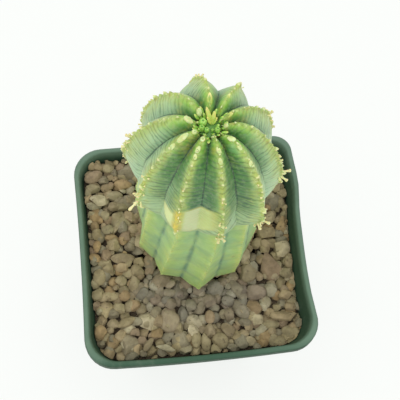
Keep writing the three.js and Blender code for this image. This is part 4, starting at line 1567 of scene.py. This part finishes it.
def build_heart(settings):
    leaf = leaf_model()
    place = on_stem(0, 0, PAD_TOP + 0.2) + Vector((TUFT_X, TUFT_Y, 0))
    copies = [leaf_copy(leaf, place, *row) for row in TUFT_LEAVES]
    tuft = growth_finish("tuft_leaf", paint(196, 212, 100), paint(152, 184, 66), paint(218, 208, 122))
    keep(join(copies), "leaf_tuft", tuft, ["young_leaves"])
    build_bracts(leaf)
    remove([leaf])

    bud = bud_model()
    copies = []
    for azimuth, distance, radius, height in BUDS:
        place = on_stem(azimuth, distance, PAD_FOOT + CLEARANCE + height / 2)
        copies.append(copy_to(bud, placed(place) @ sized(2 * radius, 2 * radius, height)))
    remove([bud])
    pad = added(bpy.ops.mesh.primitive_uv_sphere_add, segments=32, ring_count=12, radius=1)
    size = sized(BUD_PAD, BUD_PAD, (PAD_TOP - PAD_FOOT) / 2)
    pad.data.transform(placed(on_stem(0, 0, (PAD_FOOT + PAD_TOP) / 2)) @ size)
    set_shade(pad, np.ones(len(pad.data.vertices)))
    copies.append(pad)
    buds = growth_finish("bud_skin", settings.bud, paint(122, 174, 64), paint(86, 138, 48))
    piece = join(copies)
    smooth(piece, 60)
    keep(piece, "bud_cluster", buds, ["flower_buds"])


def build_stage(settings):
    size = FLOOR_SIZE * MM
    floor = added(bpy.ops.mesh.primitive_grid_add, x_subdivisions=4, y_subdivisions=4, size=size)
    floor.name = "floor"
    floor.data.materials.append(floor_finish(settings))

    world = bpy.data.worlds.new("studio")
    world.use_nodes = True
    background = world.node_tree.nodes["Background"]
    background.inputs["Color"].default_value = (1, 1, 1, 1)
    background.inputs["Strength"].default_value = settings.sky_strength
    bpy.context.scene.world = world
    lamp_data = bpy.data.lights.new("overhead_softbox", "AREA")
    lamp_data.shape = "DISK"
    lamp_data.size = LAMP_SIZE * MM
    lamp_data.energy = settings.key_power
    lamp = bpy.data.objects.new("overhead_softbox", lamp_data)
    lamp.location = Vector(LAMP_PLACE) * MM
    beam = Vector(LAMP_TARGET) - Vector(LAMP_PLACE)
    lamp.rotation_euler = beam.to_track_quat("-Z", "Y").to_euler()
    bpy.context.scene.collection.objects.link(lamp)

    back = heading(CAMERA_AZIMUTH - 90, CAMERA_ELEVATION)
    facing = back.to_track_quat("Z", "Y").to_matrix().to_4x4() @ turned(CAMERA_ROLL, "Z")
    data = bpy.data.cameras.new("camera")
    data.lens = CAMERA_LENS
    data.sensor_width = CAMERA_SENSOR
    camera = bpy.data.objects.new("camera", data)
    camera.matrix_world = placed(Vector(CAMERA_TARGET) + back * CAMERA_DISTANCE) @ facing
    bpy.context.scene.collection.objects.link(camera)
    bpy.context.scene.camera = camera
    bpy.context.scene.view_settings.view_transform = "Standard"


# Operators and panel


class EUPHORBIA_OT_pot(bpy.types.Operator):
    """Model the nursery pot"""

    bl_idname = "euphorbia.pot"
    bl_label = "Pot"

    def execute(self, context):
        build_pot(context.scene.euphorbia_pot)
        return {"FINISHED"}


class EUPHORBIA_OT_soil(bpy.types.Operator):
    """Give the potting mix its finish"""

    bl_idname = "euphorbia.soil"
    bl_label = "Soil"

    def execute(self, context):
        colour = context.scene.euphorbia_pot.soil
        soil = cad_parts["soil"]
        soil.data.materials.clear()
        soil.data.materials.append(earth_finish("soil", colour, paint(34, 26, 20), paint(120, 104, 82), 450))
        return {"FINISHED"}


class EUPHORBIA_OT_gravel(bpy.types.Operator):
    """Lay the stones, the chips between them and the bed under them"""

    bl_idname = "euphorbia.gravel"
    bl_label = "Gravel"

    def execute(self, context):
        build_gravel(context.scene.euphorbia_pot)
        return {"FINISHED"}


class EUPHORBIA_OT_stem(bpy.types.Operator):
    """Grow the ribbed stem's skin"""

    bl_idname = "euphorbia.stem"
    bl_label = "Stem"

    def execute(self, context):
        build_stem(context.scene.euphorbia_stem)
        return {"FINISHED"}


class EUPHORBIA_OT_crest_growth(bpy.types.Operator):
    """Set the scars, young leaves and dried stalks on the crests"""

    bl_idname = "euphorbia.crest_growth"
    bl_label = "Crest growth"

    def execute(self, context):
        build_crest_growth(context.scene.euphorbia_stem)
        return {"FINISHED"}


class EUPHORBIA_OT_heart(bpy.types.Operator):
    """Set the leaf tuft and the flower buds in the pit"""

    bl_idname = "euphorbia.heart"
    bl_label = "Crown's heart"

    def execute(self, context):
        build_heart(context.scene.euphorbia_stem)
        return {"FINISHED"}


class EUPHORBIA_OT_stage(bpy.types.Operator):
    """Add the floor, the lights and the camera"""

    bl_idname = "euphorbia.stage"
    bl_label = "Stage"

    def execute(self, context):
        build_stage(context.scene.euphorbia_stage)
        return {"FINISHED"}


class EUPHORBIA_PT_panel(bpy.types.Panel):
    """Lists the plant's settings and pieces"""

    bl_idname = "EUPHORBIA_PT_panel"
    bl_label = "Potted euphorbia"
    bl_space_type = "VIEW_3D"
    bl_region_type = "UI"
    bl_category = "Euphorbia"

    def draw(self, context):
        for name in SETTINGS:
            group = getattr(context.scene, name)
            box = self.layout.box()
            for field in group.bl_rna.properties.keys():
                if field not in ("rna_type", "name"):
                    box.prop(group, field)
        for operator in OPERATORS:
            self.layout.operator(operator.bl_idname)


SETTINGS = {
    "euphorbia_pot": PotSettings,
    "euphorbia_stem": StemSettings,
    "euphorbia_stage": StageSettings,
}
OPERATORS = (
    EUPHORBIA_OT_stage,
    EUPHORBIA_OT_pot,
    EUPHORBIA_OT_soil,
    EUPHORBIA_OT_gravel,
    EUPHORBIA_OT_stem,
    EUPHORBIA_OT_crest_growth,
    EUPHORBIA_OT_heart,
)


def register():
    for name, group in SETTINGS.items():
        bpy.utils.register_class(group)
        setattr(bpy.types.Scene, name, PointerProperty(type=group))
    for item in (*OPERATORS, EUPHORBIA_PT_panel):
        bpy.utils.register_class(item)


def unregister():
    for item in (EUPHORBIA_PT_panel, *reversed(OPERATORS)):
        bpy.utils.unregister_class(item)
    for name, group in SETTINGS.items():
        delattr(bpy.types.Scene, name)
        bpy.utils.unregister_class(group)


def main():
    register()
    bpy.ops.euphorbia.stage()
    bpy.ops.euphorbia.pot()
    bpy.ops.euphorbia.soil()
    bpy.ops.euphorbia.gravel()
    bpy.ops.euphorbia.stem()
    bpy.ops.euphorbia.crest_growth()
    bpy.ops.euphorbia.heart()
    deselect()


if __name__ == "__main__":
    main()
